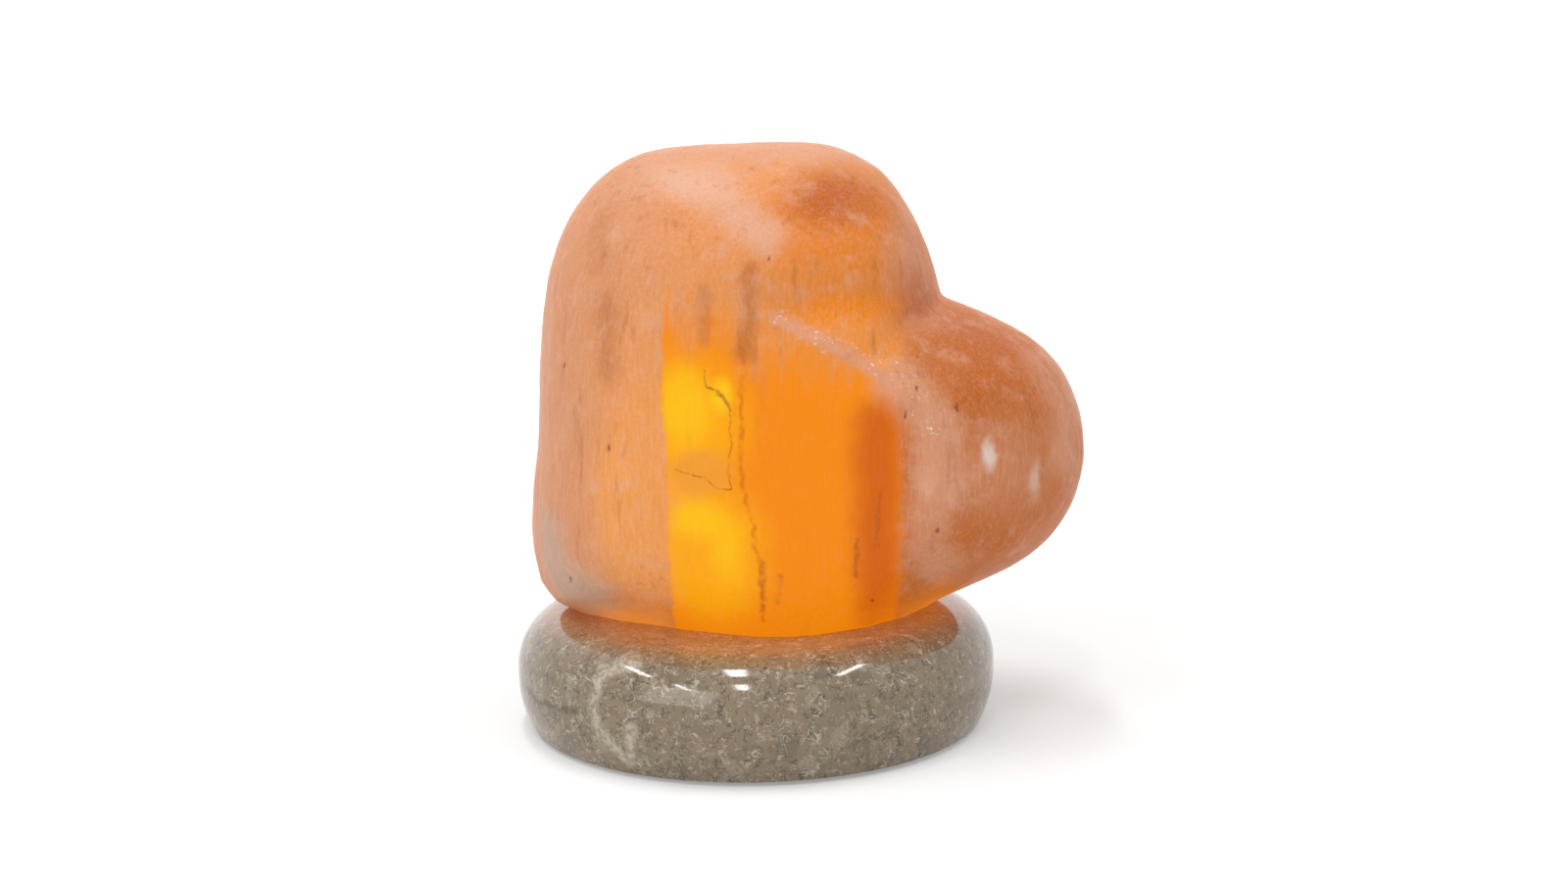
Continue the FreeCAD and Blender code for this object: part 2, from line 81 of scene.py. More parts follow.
stone_low, stone_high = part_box("marble_base")
salt_low, salt_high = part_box("salt_crystal")
seat = salt_low.z                              # the salt's foot on the stone
stone_radius = stone_high.x
print("salt", [round(v / MM, 1) for v in (*salt_low, *salt_high)], "mm, foot at",
      round(seat / MM, 2))

# %% [markdown]
# ## Camera
# The photograph was taken from a little above the lamp, close to it and straight in front of the
# heart. A slight roll levels the stone's rim as it lies in the picture.

# %% Camera
ELEVATION = math.radians(10.2)
ROLL = math.radians(-0.957)
LOOK_AT = Vector((6.78, 0.0, 59.64)) * MM
DISTANCE = 450.0 * MM
LENS = 48.71                                   # on a 36 mm wide sensor

back = Vector((0.0, -math.cos(ELEVATION), math.sin(ELEVATION)))
level, upright = Vector((1.0, 0.0, 0.0)), Vector((0.0, math.sin(ELEVATION), math.cos(ELEVATION)))
right = math.cos(ROLL) * level + math.sin(ROLL) * upright
up = math.cos(ROLL) * upright - math.sin(ROLL) * level
stand = Matrix((right, up, back)).transposed().to_4x4()
stand.translation = LOOK_AT + DISTANCE * back

camera = bpy.data.objects.new("camera", bpy.data.cameras.new("camera"))
camera.data.lens = LENS
camera.data.sensor_width = 36.0
camera.data.clip_start = 0.01
camera.matrix_world = stand
bpy.context.scene.collection.objects.link(camera)
bpy.context.scene.camera = camera
bpy.context.scene.view_settings.view_transform = "Standard"
print("camera at", [round(v / MM, 1) for v in stand.translation], "mm")

# %% [markdown]
# ## A short way to write nodes
# Materials and geometry are both made of nodes. One helper adds a node, sets its properties and
# feeds its sockets, each with a plain value or with the output of another node.


# %% Node helper
def add(tree, kind, feeds=None, **settings):
    """Adds a node. feeds maps a socket's name or number to a value or to another node's output."""
    made = tree.nodes.new(kind)
    for key, value in settings.items():
        setattr(made, key, value)
    for key, value in (feeds or {}).items():
        if isinstance(value, bpy.types.NodeSocket):
            tree.links.new(value, made.inputs[key])
        else:
            made.inputs[key].default_value = value
    return made


def linear(red, green, blue):
    """A colour as seen on a screen, from 0 to 255, as the linear values that a shader takes."""
    def one(value):
        """One of the three parts."""
        value /= 255
        return value / 12.92 if value <= 0.04045 else ((value + 0.055) / 1.055) ** 2.4
    return (one(red), one(green), one(blue), 1.0)


# %% [markdown]
# ## A finish and its methods
# Every finish is one Principled shader with a pattern in front of it. The class keeps the material
# together with the place of a point in millimetres, read from Object coordinates, and has a short
# method for each kind of node, so that a finish reads like a recipe.


# %% Finish
class Finish:
    """A material in the making, with one short method for each kind of node that it needs."""

    def __init__(self, name):
        self.name = name
        self.material = bpy.data.materials.new(name)
        self.material.use_nodes = True
        self.tree = self.material.node_tree
        self.shader = self.tree.nodes["Principled BSDF"]
        coordinates = add(self.tree, "ShaderNodeTexCoord")
        mapping = add(self.tree, "ShaderNodeMapping", {"Vector": coordinates.outputs["Object"]})
        mapping.inputs["Scale"].default_value = (1 / MM, 1 / MM, 1 / MM)
        self.place = mapping.outputs["Vector"]         # where a point is, in millimetres

    def set(self, **values):
        """Sets or links the shader's own sockets. Roughness=0.4 and Base_Color=output both work."""
        for key, value in values.items():
            socket = self.shader.inputs[key.replace("_", " ")]
            if isinstance(value, bpy.types.NodeSocket):
                self.tree.links.new(value, socket)
            else:
                socket.default_value = value

    def math(self, operation, a, b=0.0, c=0.0, clamp=False):
        """One step of arithmetic."""
        made = add(self.tree, "ShaderNodeMath", {0: a, 1: b, 2: c}, operation=operation,
                   use_clamp=clamp)
        return made.outputs[0]

    def vector(self, operation, a, b=(0.0, 0.0, 0.0), output=0):
        """One step of vector arithmetic. A length or distance is the output named Value."""
        made = add(self.tree, "ShaderNodeVectorMath", {0: a, 1: b}, operation=operation)
        return made.outputs[output]

    def scaled(self, vector, factors):
        """The vector, stretched by a factor along each axis."""
        return self.vector("MULTIPLY", vector, factors)

    def parts(self, vector):
        """The vector's X, Y and Z."""
        made = add(self.tree, "ShaderNodeSeparateXYZ", {0: vector})
        return made.outputs["X"], made.outputs["Y"], made.outputs["Z"]

    def noise(self, vector, scale, detail=3.0, roughness=0.5, distortion=0.0, colour=False):
        """A soft random pattern, whose waves are about 1 / scale millimetres long."""
        made = add(self.tree, "ShaderNodeTexNoise",
                   {"Vector": vector, "Scale": scale, "Detail": detail, "Roughness": roughness,
                    "Distortion": distortion})
        return made.outputs["Color" if colour else "Fac"]

    def cells(self, vector, scale, output="Distance"):
        """Random cells: how far a point is from its cell's middle, or the cell's own colour."""
        made = add(self.tree, "ShaderNodeTexVoronoi", {"Vector": vector, "Scale": scale})
        return made.outputs[output]

    def fade(self, value, start, end, low=0.0, high=1.0):
        """Goes smoothly from low, where value is at start, to high, where it is at end."""
        made = add(self.tree, "ShaderNodeMapRange",
                   {"Value": value, "From Min": start, "From Max": end, "To Min": low,
                    "To Max": high}, interpolation_type="SMOOTHSTEP")
        return made.outputs["Result"]

    def mix(self, share, a, b):
        """Colour a where the share is 0, and colour b where it is 1."""
        made = add(self.tree, "ShaderNodeMix", {0: share, 6: a, 7: b}, data_type="RGBA")
        return made.outputs[2]

    def bump(self, height, distance, strength=1.0, over=None):
        """Fine relief in the shading only, on top of another bump if one is given."""
        feeds = {"Height": height, "Distance": distance, "Strength": strength}
        if over is not None:
            feeds["Normal"] = over
        return add(self.tree, "ShaderNodeBump", feeds).outputs["Normal"]

    def wobbled(self, vector, scale, reach, detail=2.0):
        """The place, pushed about by a noise, so that what is drawn on it has natural edges."""
        push = self.noise(vector, scale, detail, colour=True)
        centred = self.vector("SUBTRACT", push, (0.5, 0.5, 0.5))
        return self.vector("ADD", vector, self.scaled(centred, (2 * reach,) * 3))


# %% [markdown]
# ## Floor, backdrop and light
# The photograph has a plain white ground. The floor is a pale sheet that rises behind the lamp in
# one soft curve. What the camera sees of it is lifted to white by a little light of its own, and
# only for rays that come from the camera, a mirror-like face or glass, so that the lamp itself is
# lit at a plain level and its shadow stays on the floor. Seen from below, the floor is clear, so
# that the lamp's underside can be looked at, and the lampholder too when it is pulled down.


# %% Floor and backdrop
def seen_directly(tree):
    """1 for camera, glossy and transmission rays, and 0 for the light that falls on things."""
    path = add(tree, "ShaderNodeLightPath")
    total = path.outputs["Is Camera Ray"]
    for name in ("Is Glossy Ray", "Is Transmission Ray"):
        total = add(tree, "ShaderNodeMath", {0: total, 1: path.outputs[name]},
                    operation="MAXIMUM").outputs[0]
    return total


def make_floor(half_width=3.0, front=-2.5, bend_start=1.2, bend_radius=0.8, height=2.5):
    """A level sheet that bends up into a wall behind the lamp. Sizes are in metres."""
    outline = [(front, 0.0), (bend_start, 0.0)]
    outline += [(bend_start + bend_radius * math.sin(turn), bend_radius * (1 - math.cos(turn)))
                for turn in np.linspace(0.1, math.pi / 2, 12)]
    outline.append((bend_start + bend_radius, height))
    corners = [(x, y, z) for y, z in outline for x in (-half_width, half_width)]
    faces = [(2 * n, 2 * n + 1, 2 * n + 3, 2 * n + 2) for n in range(len(outline) - 1)]
    mesh = bpy.data.meshes.new("floor")
    mesh.from_pydata(corners, [], faces)
    mesh.shade_smooth()
    floor = bpy.data.objects.new("floor", mesh)
    bpy.context.scene.collection.objects.link(floor)
    return floor


FLOOR_LIFT, BACKDROP_LIFT = 0.27, 0.70         # light of their own, where they are seen
NEAR, FAR = 200.0, 1300.0                      # mm from the lamp, between which the lift grows
paper = Finish("floor paper")
paper.set(Base_Color=(0.80, 0.80, 0.80, 1.0), Roughness=0.9, Specular_IOR_Level=0.1,
          Emission_Color=(1.0, 1.0, 1.0, 1.0))
from_lamp = paper.vector("LENGTH", paper.place, output="Value")
lift = paper.fade(from_lamp, NEAR, FAR, FLOOR_LIFT, BACKDROP_LIFT)
paper.set(Emission_Strength=paper.math("MULTIPLY", seen_directly(paper.tree), lift))
from_below = add(paper.tree, "ShaderNodeNewGeometry").outputs["Backfacing"]
clear = add(paper.tree, "ShaderNodeBsdfTransparent").outputs["BSDF"]
sheet = add(paper.tree, "ShaderNodeMixShader",
            {0: from_below, 1: paper.shader.outputs["BSDF"], 2: clear}).outputs["Shader"]
paper.tree.links.new(sheet, paper.tree.nodes["Material Output"].inputs["Surface"])
floor = make_floor()
floor.data.materials.append(paper.material)
floor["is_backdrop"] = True
print("floor:", len(floor.data.polygons), "faces")

# %% [markdown]
# An even pale sky lights the lamp from all sides. The camera and mirror-like faces see it white.

# %% World
SKY = 0.53                                     # soft light from all around
world = bpy.data.worlds.new("studio")
bpy.context.scene.world = world
world.use_nodes = True
sky = world.node_tree.nodes["Background"]
sky.inputs["Color"].default_value = (1.0, 1.0, 1.0, 1.0)
strength = add(world.node_tree, "ShaderNodeMapRange",
               {"Value": seen_directly(world.node_tree), "To Min": SKY, "To Max": 1.0})
world.node_tree.links.new(strength.outputs["Result"], sky.inputs["Strength"])
print("world: even light of", SKY)


# %% [markdown]
# ## Lamps
# The small windows of light on the polished stone tell what hung over the real lamp: rows of
# ceiling panels. Five narrow panels stand in for them. They are bright, because polished stone
# gives back only a small part of what it sees, but narrow, so they light the salt only a little.
# One large dim softbox, in front, above and to the left, gives the salt its form.


# %% Lamps
def panel(name, place, aim, width, length, radiance):
    """A flat lamp in metres. Its power follows from its area and from how bright it looks."""
    data = bpy.data.lights.new(name, "AREA")
    data.shape = "RECTANGLE"
    data.size, data.size_y = width, length
    data.energy = radiance * math.pi * width * length
    lamp = bpy.data.objects.new(name, data)
    lamp.location = place
    lamp.rotation_euler = (Vector(aim) - Vector(place)).to_track_quat("-Z", "Y").to_euler()
    bpy.context.scene.collection.objects.link(lamp)
    return lamp


CEILING = 1.5                                  # height of the panels, in metres
PANEL_RADIANCE, SOFTBOX_RADIANCE = 17.0, 1.9
PANELS = [                                     # middle across and back, width, length
    (-0.135, 0.15, 0.13, 0.75), (-0.15, -0.92, 0.13, 0.40), (-1.00, 0.10, 0.08, 0.60),
    (-0.89, -0.90, 0.08, 0.45), (0.75, 0.00, 0.08, 0.62)]
for number, (x, y, width, length) in enumerate(PANELS):
    panel(f"ceiling panel {number + 1}", (x, y, CEILING), (x, y, 0.0), width, length,
          PANEL_RADIANCE)
panel("softbox", (-0.9, -1.1, 0.9), (0.0, 0.0, 0.05), 0.9, 0.9, SOFTBOX_RADIANCE)
print("lamps:", len(PANELS), "ceiling panels and a softbox")

# %% [markdown]
# ## Geometry Nodes: turning an outline
# The stone, the bulb and several small parts were made on a lathe or a press and are round. One
# tree does the turning for all of them: it wraps a flat grid round the axis, and each row of the
# grid takes its radius and height from one point of the outline. Spin would do it as well, but
# the tree keeps the number of steps as an input that can be changed later.


# %% Geometry tree helpers
def geometry_tree(name, inputs):
    """A new tree with a geometry input and output, and inputs given as (name, kind, value)."""
    tree = bpy.data.node_groups.new(name, "GeometryNodeTree")
    tree.interface.new_socket("Geometry", in_out="INPUT", socket_type="NodeSocketGeometry")
    for label, kind, value in inputs:
        socket = tree.interface.new_socket(label, in_out="INPUT", socket_type="NodeSocket" + kind)
        if value is not None:
            socket.default_value = value
    tree.interface.new_socket("Geometry", in_out="OUTPUT", socket_type="NodeSocketGeometry")
    return tree, tree.nodes.new("NodeGroupInput").outputs


def finish_tree(tree, geometry, material):
    """Ends a tree: real geometry in place of instances, and its material."""
    real = add(tree, "GeometryNodeRealizeInstances", {0: geometry}).outputs[0]
    painted = add(tree, "GeometryNodeSetMaterial", {"Geometry": real, "Material": material})
    output = tree.nodes.new("NodeGroupOutput")
    tree.links.new(painted.outputs[0], output.inputs[0])


def calc(tree, operation, a, b=0.0):
    """One step of arithmetic on sockets or numbers."""
    return add(tree, "ShaderNodeMath", {0: a, 1: b}, operation=operation).outputs[0]


def wrap_round(tree, outline, steps):
    """Turns an outline, a chain of points in the XZ plane, about the Z axis."""
    size = add(tree, "GeometryNodeAttributeDomainSize", {0: outline}, component="MESH")
    rows = size.outputs["Point Count"]
    grid = add(tree, "GeometryNodeMeshGrid", {
        "Vertices X": calc(tree, "ADD", steps, 1.0), "Vertices Y": rows})
    index = add(tree, "GeometryNodeInputIndex").outputs[0]
    row = calc(tree, "MODULO", index, rows)
    column = calc(tree, "FLOOR", calc(tree, "DIVIDE", index, rows))
    turn = calc(tree, "MULTIPLY", column, calc(tree, "DIVIDE", math.tau, steps))
    position = add(tree, "GeometryNodeInputPosition").outputs[0]
    sample = add(tree, "GeometryNodeSampleIndex", {0: outline, "Value": position, "Index": row},
                 data_type="FLOAT_VECTOR", domain="POINT")
    point = add(tree, "ShaderNodeSeparateXYZ", {0: sample.outputs[0]}).outputs
    around = add(tree, "ShaderNodeCombineXYZ", {
        "X": calc(tree, "MULTIPLY", point["X"], calc(tree, "COSINE", turn)),
        "Y": calc(tree, "MULTIPLY", point["X"], calc(tree, "SINE", turn)),
        "Z": point["Z"]})
    moved = add(tree, "GeometryNodeSetPosition",
                {"Geometry": grid.outputs["Mesh"], "Position": around.outputs[0]})
    closed = add(tree, "GeometryNodeMergeByDistance",
                 {"Geometry": moved.outputs[0], "Distance": 0.001 * MM})
    return add(tree, "GeometryNodeSetShadeSmooth", {0: closed.outputs[0]}).outputs[0]


# %% [markdown]
# A thread, a ring of grip flutes and a plain turned piece differ only in a wave: a thread is one
# wave round the piece that climbs by a pitch in each turn, and flutes are many waves that don't
# climb. So the lathe tree presses a wave in what it has turned, between two heights.


# %% Lathe tree
def lathe_tree():
    """Turns a chain of points about the Z axis, and presses a wave in it between two heights."""
    tree, inputs = geometry_tree("lathe", [
        ("Steps round", "Int", 96), ("Waves round", "Int", 0), ("Climb", "Float", 0.0),
        ("Depth", "Float", 0.0), ("Start", "Float", 0.0), ("End", "Float", 0.0),
        ("Ease", "Float", 0.001), ("Beyond", "Float", 0.0), ("Finish", "Material", None)])
    turned = wrap_round(tree, inputs["Geometry"], inputs["Steps round"])
    place = add(tree, "GeometryNodeInputPosition").outputs[0]
    x, y, z = add(tree, "ShaderNodeSeparateXYZ", {0: place}).outputs

    def vector(operation, a, b=(0.0, 0.0, 0.0)):
        """One step of vector arithmetic."""
        return add(tree, "ShaderNodeVectorMath", {0: a, 1: b}, operation=operation).outputs

    level = vector("MULTIPLY", place, (1.0, 1.0, 0.0))[0]
    radius = vector("LENGTH", level)["Value"]
    outwards = vector("NORMALIZE", level)[0]
    phase = calc(tree, "SUBTRACT",
                 calc(tree, "MULTIPLY", calc(tree, "ARCTAN2", y, x), inputs["Waves round"]),
                 calc(tree, "MULTIPLY", z, inputs["Climb"]))
    wave = calc(tree, "MULTIPLY", calc(tree, "SUBTRACT", calc(tree, "COSINE", phase), 1.0), 0.5)
    push = calc(tree, "MULTIPLY", wave, inputs["Depth"])
    for end, towards in (("Start", "ADD"), ("End", "SUBTRACT")):
        eased = add(tree, "ShaderNodeMapRange", {
            "Value": z, "From Min": inputs[end],
            "From Max": calc(tree, towards, inputs[end], inputs["Ease"])}).outputs[0]
        push = calc(tree, "MULTIPLY", push, eased)
    push = calc(tree, "MULTIPLY", push, calc(tree, "GREATER_THAN", radius, inputs["Beyond"]))
    offset = add(tree, "ShaderNodeVectorMath", {0: outwards, "Scale": push}, operation="SCALE")
    waved = add(tree, "GeometryNodeSetPosition", {"Geometry": turned, "Offset": offset.outputs[0]})
    finish_tree(tree, waved.outputs[0], inputs["Finish"])
    return tree


LATHE = lathe_tree()
print("lathe tree:", len(LATHE.nodes), "nodes")

# %% [markdown]
# A modifier's inputs are set by the identifier of the socket, and then the evaluated result is
# kept as a plain mesh, so that nothing live is left on a finished piece.


# %% Plain meshes from modifiers
def give_tree(piece, tree, **values):
    """Puts a tree on a piece and sets its inputs, named with _ for a space, by identifier."""
    modifier = piece.modifiers.new(tree.name, "NODES")
    modifier.node_group = tree
    for item in tree.interface.items_tree:
        key = item.name.replace(" ", "_")
        if item.in_out == "INPUT" and key in values:
            modifier[item.identifier] = values[key]


def bake(piece):
    """Turns what the modifiers make into the piece's own plain mesh."""
    bpy.context.view_layer.update()
    seen = piece.evaluated_get(bpy.context.evaluated_depsgraph_get())
    mesh = bpy.data.meshes.new_from_object(seen)
    piece.modifiers.clear()
    piece.data = mesh


def soften(piece, sharp=35.0):
    """Smooth shading, but for edges that turn by more than an angle in degrees."""
    piece.data.shade_smooth()
    piece.data.set_sharp_from_angle(angle=math.radians(sharp))


def settle(piece, sharp=35.0):
    """Bakes a piece, merges its seams and poles and points its faces outwards."""
    bake(piece)
    shape = bmesh.new()
    shape.from_mesh(piece.data)
    bmesh.ops.remove_doubles(shape, verts=shape.verts, dist=0.001 * MM)
    bmesh.ops.recalc_face_normals(shape, faces=shape.faces)
    shape.to_mesh(piece.data)
    shape.free()
    soften(piece, sharp)
    return piece


def new_piece(name, mesh=None):
    """An object at the origin, with a mesh or an empty one."""
    piece = bpy.data.objects.new(name, mesh or bpy.data.meshes.new(name))
    bpy.context.scene.collection.objects.link(piece)
    return piece


# %% Turning and cutting
def turned_piece(name, outline, steps=96, sharp=35.0, **wave):
    """A round piece from (radius, height) points, in metres. A ring's last point is its first."""
    chain = bpy.data.meshes.new(name)
    chain.from_pydata([(r, 0.0, z) for r, z in outline],
                      [(n, n + 1) for n in range(len(outline) - 1)], [])
    piece = new_piece(name, chain)
    give_tree(piece, LATHE, Steps_round=steps, **wave)
    return settle(piece, sharp)


def carve(piece, cutters):
    """Cuts the cutters out of a piece, one after the other, and throws them away."""
    for cutter in cutters:
        cut = piece.modifiers.new("cut", "BOOLEAN")
        cut.operation, cut.solver, cut.object = "DIFFERENCE", "EXACT", cutter
        bake(piece)
        bpy.data.objects.remove(cutter)
    return piece


def moved(piece, x):
    """The piece, moved along X. Its place stays in its mesh."""
    piece.data.transform(Matrix.Translation((x, 0.0, 0.0)))
    return piece


# %% [markdown]
# A finished piece rides on the body that it moves with, and stands for one node of the packed
# model, whose own mesh is then hidden. A node whose shape is good as it is only gets its finish.


# %% Placing a piece
def place_piece(piece, finish, body, node):
    """Gives a piece its finish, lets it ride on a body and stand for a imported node."""
    piece.data.materials.clear()
    piece.data.materials.append(finish.material)
    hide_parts(node)
    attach(piece, body)
    print(piece.name, "for", node, "-", len(piece.data.polygons), "faces")


def dress(node, finish):
    """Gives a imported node, whose shape stays, its finish."""
    nodes[node].material_slots[0].material = finish.material


# %% [markdown]
# ## The salt crystal: shape
# The real heart was sawn and then ground by hand, so its surface is smooth but never even. The
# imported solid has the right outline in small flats. Its skin is copied and made into an even net
# of small squares with a voxel remesh, and relaxed until the flats are gone. A sculptor's brushes
# would do it as well, but formulas give the same heart each time and can be changed later.

# %% Salt: an even skin
bore_radius = 20.0 * MM                        # bore for the bulb
bore_top = 95.61 * MM                          # its straight part ends here
bore_point = bore_top + 3.0 * MM               # small flat at the drill's point
bore_flat = 4.0 * MM                           # radius of that flat
screw_offset = 29.0 * MM                       # from the lamp's axis to each screw
plug_hole = 3.05 * MM                          # radius
plug_depth = 20.0 * MM
VOXEL = 0.8 * MM                               # squares of the even net


def is_skin(face):
    """Whether a face of the solid belongs to the outside, not to its foot, bore or plug holes."""
    c = face.calc_center_median()
    slack = 0.1 * MM
    foot = c.z < seat + 0.1 * slack
    bore = math.hypot(c.x, c.y) < bore_radius + slack and c.z < bore_point + slack
    plug = (math.hypot(abs(c.x) - screw_offset, c.y) < plug_hole + slack
            and c.z < seat + plug_depth + slack)
    return not (foot or bore or plug)


def salt_skin():
    """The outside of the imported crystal, closed by a flat foot."""
    shape = bmesh.new()
    shape.from_mesh(nodes["salt_crystal"].data)
    bmesh.ops.remove_doubles(shape, verts=shape.verts, dist=0.002 * MM)
    inner = [face for face in shape.faces if not is_skin(face)]
    bmesh.ops.delete(shape, geom=inner, context="FACES")
    rim = [edge for edge in shape.edges if edge.is_boundary]
    bmesh.ops.holes_fill(shape, edges=rim, sides=0)
    mesh = bpy.data.meshes.new("crystal")
    shape.to_mesh(mesh)
    shape.free()
    return new_piece("crystal", mesh)


crystal = salt_skin()
remesh = crystal.modifiers.new("even net", "REMESH")
remesh.mode, remesh.voxel_size = "VOXEL", VOXEL
settle(crystal, 180.0)
print("crystal net:", len(crystal.data.vertices), "points")


# %% [markdown]
# Relaxing moves each point to the middle of its neighbours again and again, which melts the flats
# as grinding does. The foot stays where it was sawn, and the lower corner and the notch between
# the lobes, which are crisp in the real heart, move less.


# %% Salt: relaxing the flats
RELAX_ROUNDS = 40
HELD = [(-46.0, 31.0, 14.0), (37.0, 93.0, 8.0)]  # the lower corner, the notch: x, z, reach in mm


def relax(points, edges, rounds, hold):
    """Moves each point towards the middle of its neighbours, as far as its hold from 0 to 1."""
    first, second = edges.T
    count = np.bincount(edges.ravel(), minlength=len(points))[:, None]
    for _ in range(rounds):
        total = np.stack([np.bincount(first, points[second, axis], len(points))
                          + np.bincount(second, points[first, axis], len(points))
                          for axis in range(3)], axis=1)
        points += 0.5 * hold[:, None] * (total / count - points)
    return points


mesh = crystal.data
points = np.empty(len(mesh.vertices) * 3)
mesh.vertices.foreach_get("co", points)
points = points.reshape(-1, 3)
edges = np.empty(len(mesh.edges) * 2, dtype=np.int32)
mesh.edges.foreach_get("vertices", edges)
hold = np.clip((points[:, 2] - seat - 0.3 * MM) / (2.0 * MM), 0.0, 1.0)
for x, z, reach in HELD:
    away = np.hypot(points[:, 0] / MM - x, points[:, 2] / MM - z)
    hold *= np.clip(away / reach, 0.05, 1.0) ** 2
points = relax(points, edges.reshape(-1, 2), RELAX_ROUNDS, hold)
mesh.vertices.foreach_set("co", points.ravel())
mesh.update()
print("relaxed", RELAX_ROUNDS, "times, top at", round(points[:, 2].max() / MM, 1), "mm")

# %% [markdown]
# Then the surface is pushed in and out: long soft waves all over, the valley between the lobes,
# which runs out over the face, and the worn ridge below it.


# %% Salt: sculpting
VALLEY = [(40.0, 94.0), (28.0, 91.5), (16.0, 92.0), (7.0, 91.5)]     # (x, z) in mm
RIDGE = [(4.0, 90.0), (8.0, 88.5), (17.0, 83.5), (28.0, 78.0), (34.5, 72.0), (37.5, 63.0),
         (36.0, 54.0)]
VALLEY_DEPTH, VALLEY_WIDTH = 2.3, 5.0
RIDGE_HEIGHT, RIDGE_WIDTH = 0.9, 2.2


def distance_to(x, z, corners):
    """Distance of each place to a chain of corners in the XZ plane."""
    best = np.full(len(x), 1e9)
    for (ax, az), (bx, bz) in zip(corners, corners[1:]):
        dx, dz = bx - ax, bz - az
        along = np.clip(((x - ax) * dx + (z - az) * dz) / (dx * dx + dz * dz), 0.0, 1.0)
        best = np.minimum(best, np.hypot(x - ax - along * dx, z - az - along * dz))
    return best


def waves(places, size, seed):
    """A smooth noise with waves of a size in millimetres, from about -1 to 1, at each place."""
    shift = Vector((seed * 7.3, seed * 3.1, seed * 5.7))
    return np.array([noise.noise(Vector(p) / size + shift) for p in places])


def salt_relief(places):
    """How far each place, in millimetres, moves out along its normal."""
    x, y, z = places.T
    fine = waves(places, 2.6, 3)
    push = 0.25 + 0.32 * waves(places, 21.0, 1) + 0.25 * waves(places, 9.0, 2) + 0.06 * fine
    face = np.clip((-y - 14.0) / 12.0, 0.0, 1.0)               # only on the front
    valley = VALLEY_DEPTH * np.exp(-(distance_to(x, z, VALLEY) / VALLEY_WIDTH) ** 2)
    ridge = np.exp(-(distance_to(x, z, RIDGE) / RIDGE_WIDTH) ** 2)
    return push + face * ((RIDGE_HEIGHT + 0.35 * fine) * ridge - valley)


normals = np.empty(len(mesh.vertices) * 3)
mesh.vertex_normals.foreach_get("vector", normals)
off_foot = np.clip((points[:, 2] - seat - 0.5 * MM) / (4.0 * MM), 0.0, 1.0)
push = salt_relief(points / MM) * off_foot
points += normals.reshape(-1, 3) * push[:, None] * MM
points[:, 2] = np.maximum(points[:, 2], seat)
mesh.vertices.foreach_set("co", points.ravel())
mesh.update()
print("relief from", round(push.min(), 2), "to", round(push.max(), 2), "mm")

# %% Salt: bore and plug holes
entry = seat - 5 * MM
bore = turned_piece("bore", [(0.0, entry), (bore_radius, entry), (bore_radius, bore_top),
                             (bore_flat, bore_point), (0.0, bore_point)])
holes = [moved(turned_piece("plug hole", [(0.0, entry), (plug_hole, entry),
                                          (plug_hole, seat + plug_depth),
                                          (0.0, seat + plug_depth)], steps=24),
               side * screw_offset) for side in (-1, 1)]
carve(crystal, [bore, *holes])
soften(crystal, 50.0)
print("crystal:", len(crystal.data.polygons), "faces")

# %% [markdown]
# ## The salt crystal: finish
# Rock salt lets light through, so the thin salt in front of the bulb glows yellow and orange,
# and the thick lobes stay peach and clay coloured. Real light through real salt would take very
# many samples, so the glow is painted: the colour that each place should show is worked out
# first, and then split between the surface's own colour and a light of its own. Places are in
# millimetres, so every number below is a size on the lamp.

# %% Salt: colours
PEACH = linear(219, 148, 104)
WARM = linear(231, 147, 84)
HALO = linear(248, 162, 86)
DULL = linear(231, 130, 40)
CLAY = linear(203, 112, 48)
RUST = linear(190, 92, 28)
AMBER = linear(248, 139, 2)
SUN = linear(255, 170, 2)
FLAME = linear(255, 200, 8)
DEEP = linear(212, 98, 2)
HONEY = linear(240, 156, 52)
ROSE = linear(226, 160, 124)
FROST = linear(230, 174, 144)
PALE = linear(226, 160, 126)
GREY = linear(198, 166, 146)
BROWN = linear(168, 84, 26)
UMBER = linear(96, 44, 18)
WHITE = linear(244, 230, 220)

print("amber for the shader:", [round(part, 3) for part in AMBER[:3]])

# %% [markdown]
# The finish of the salt, and later that of the stone, is partly painted, so they need masks: a
# soft ellipse, and a soft stroke along a chain of points. Both lie in the plane of the heart's
# face, and a mask is a number from 0 to 1, so masks are joined by multiplying them.


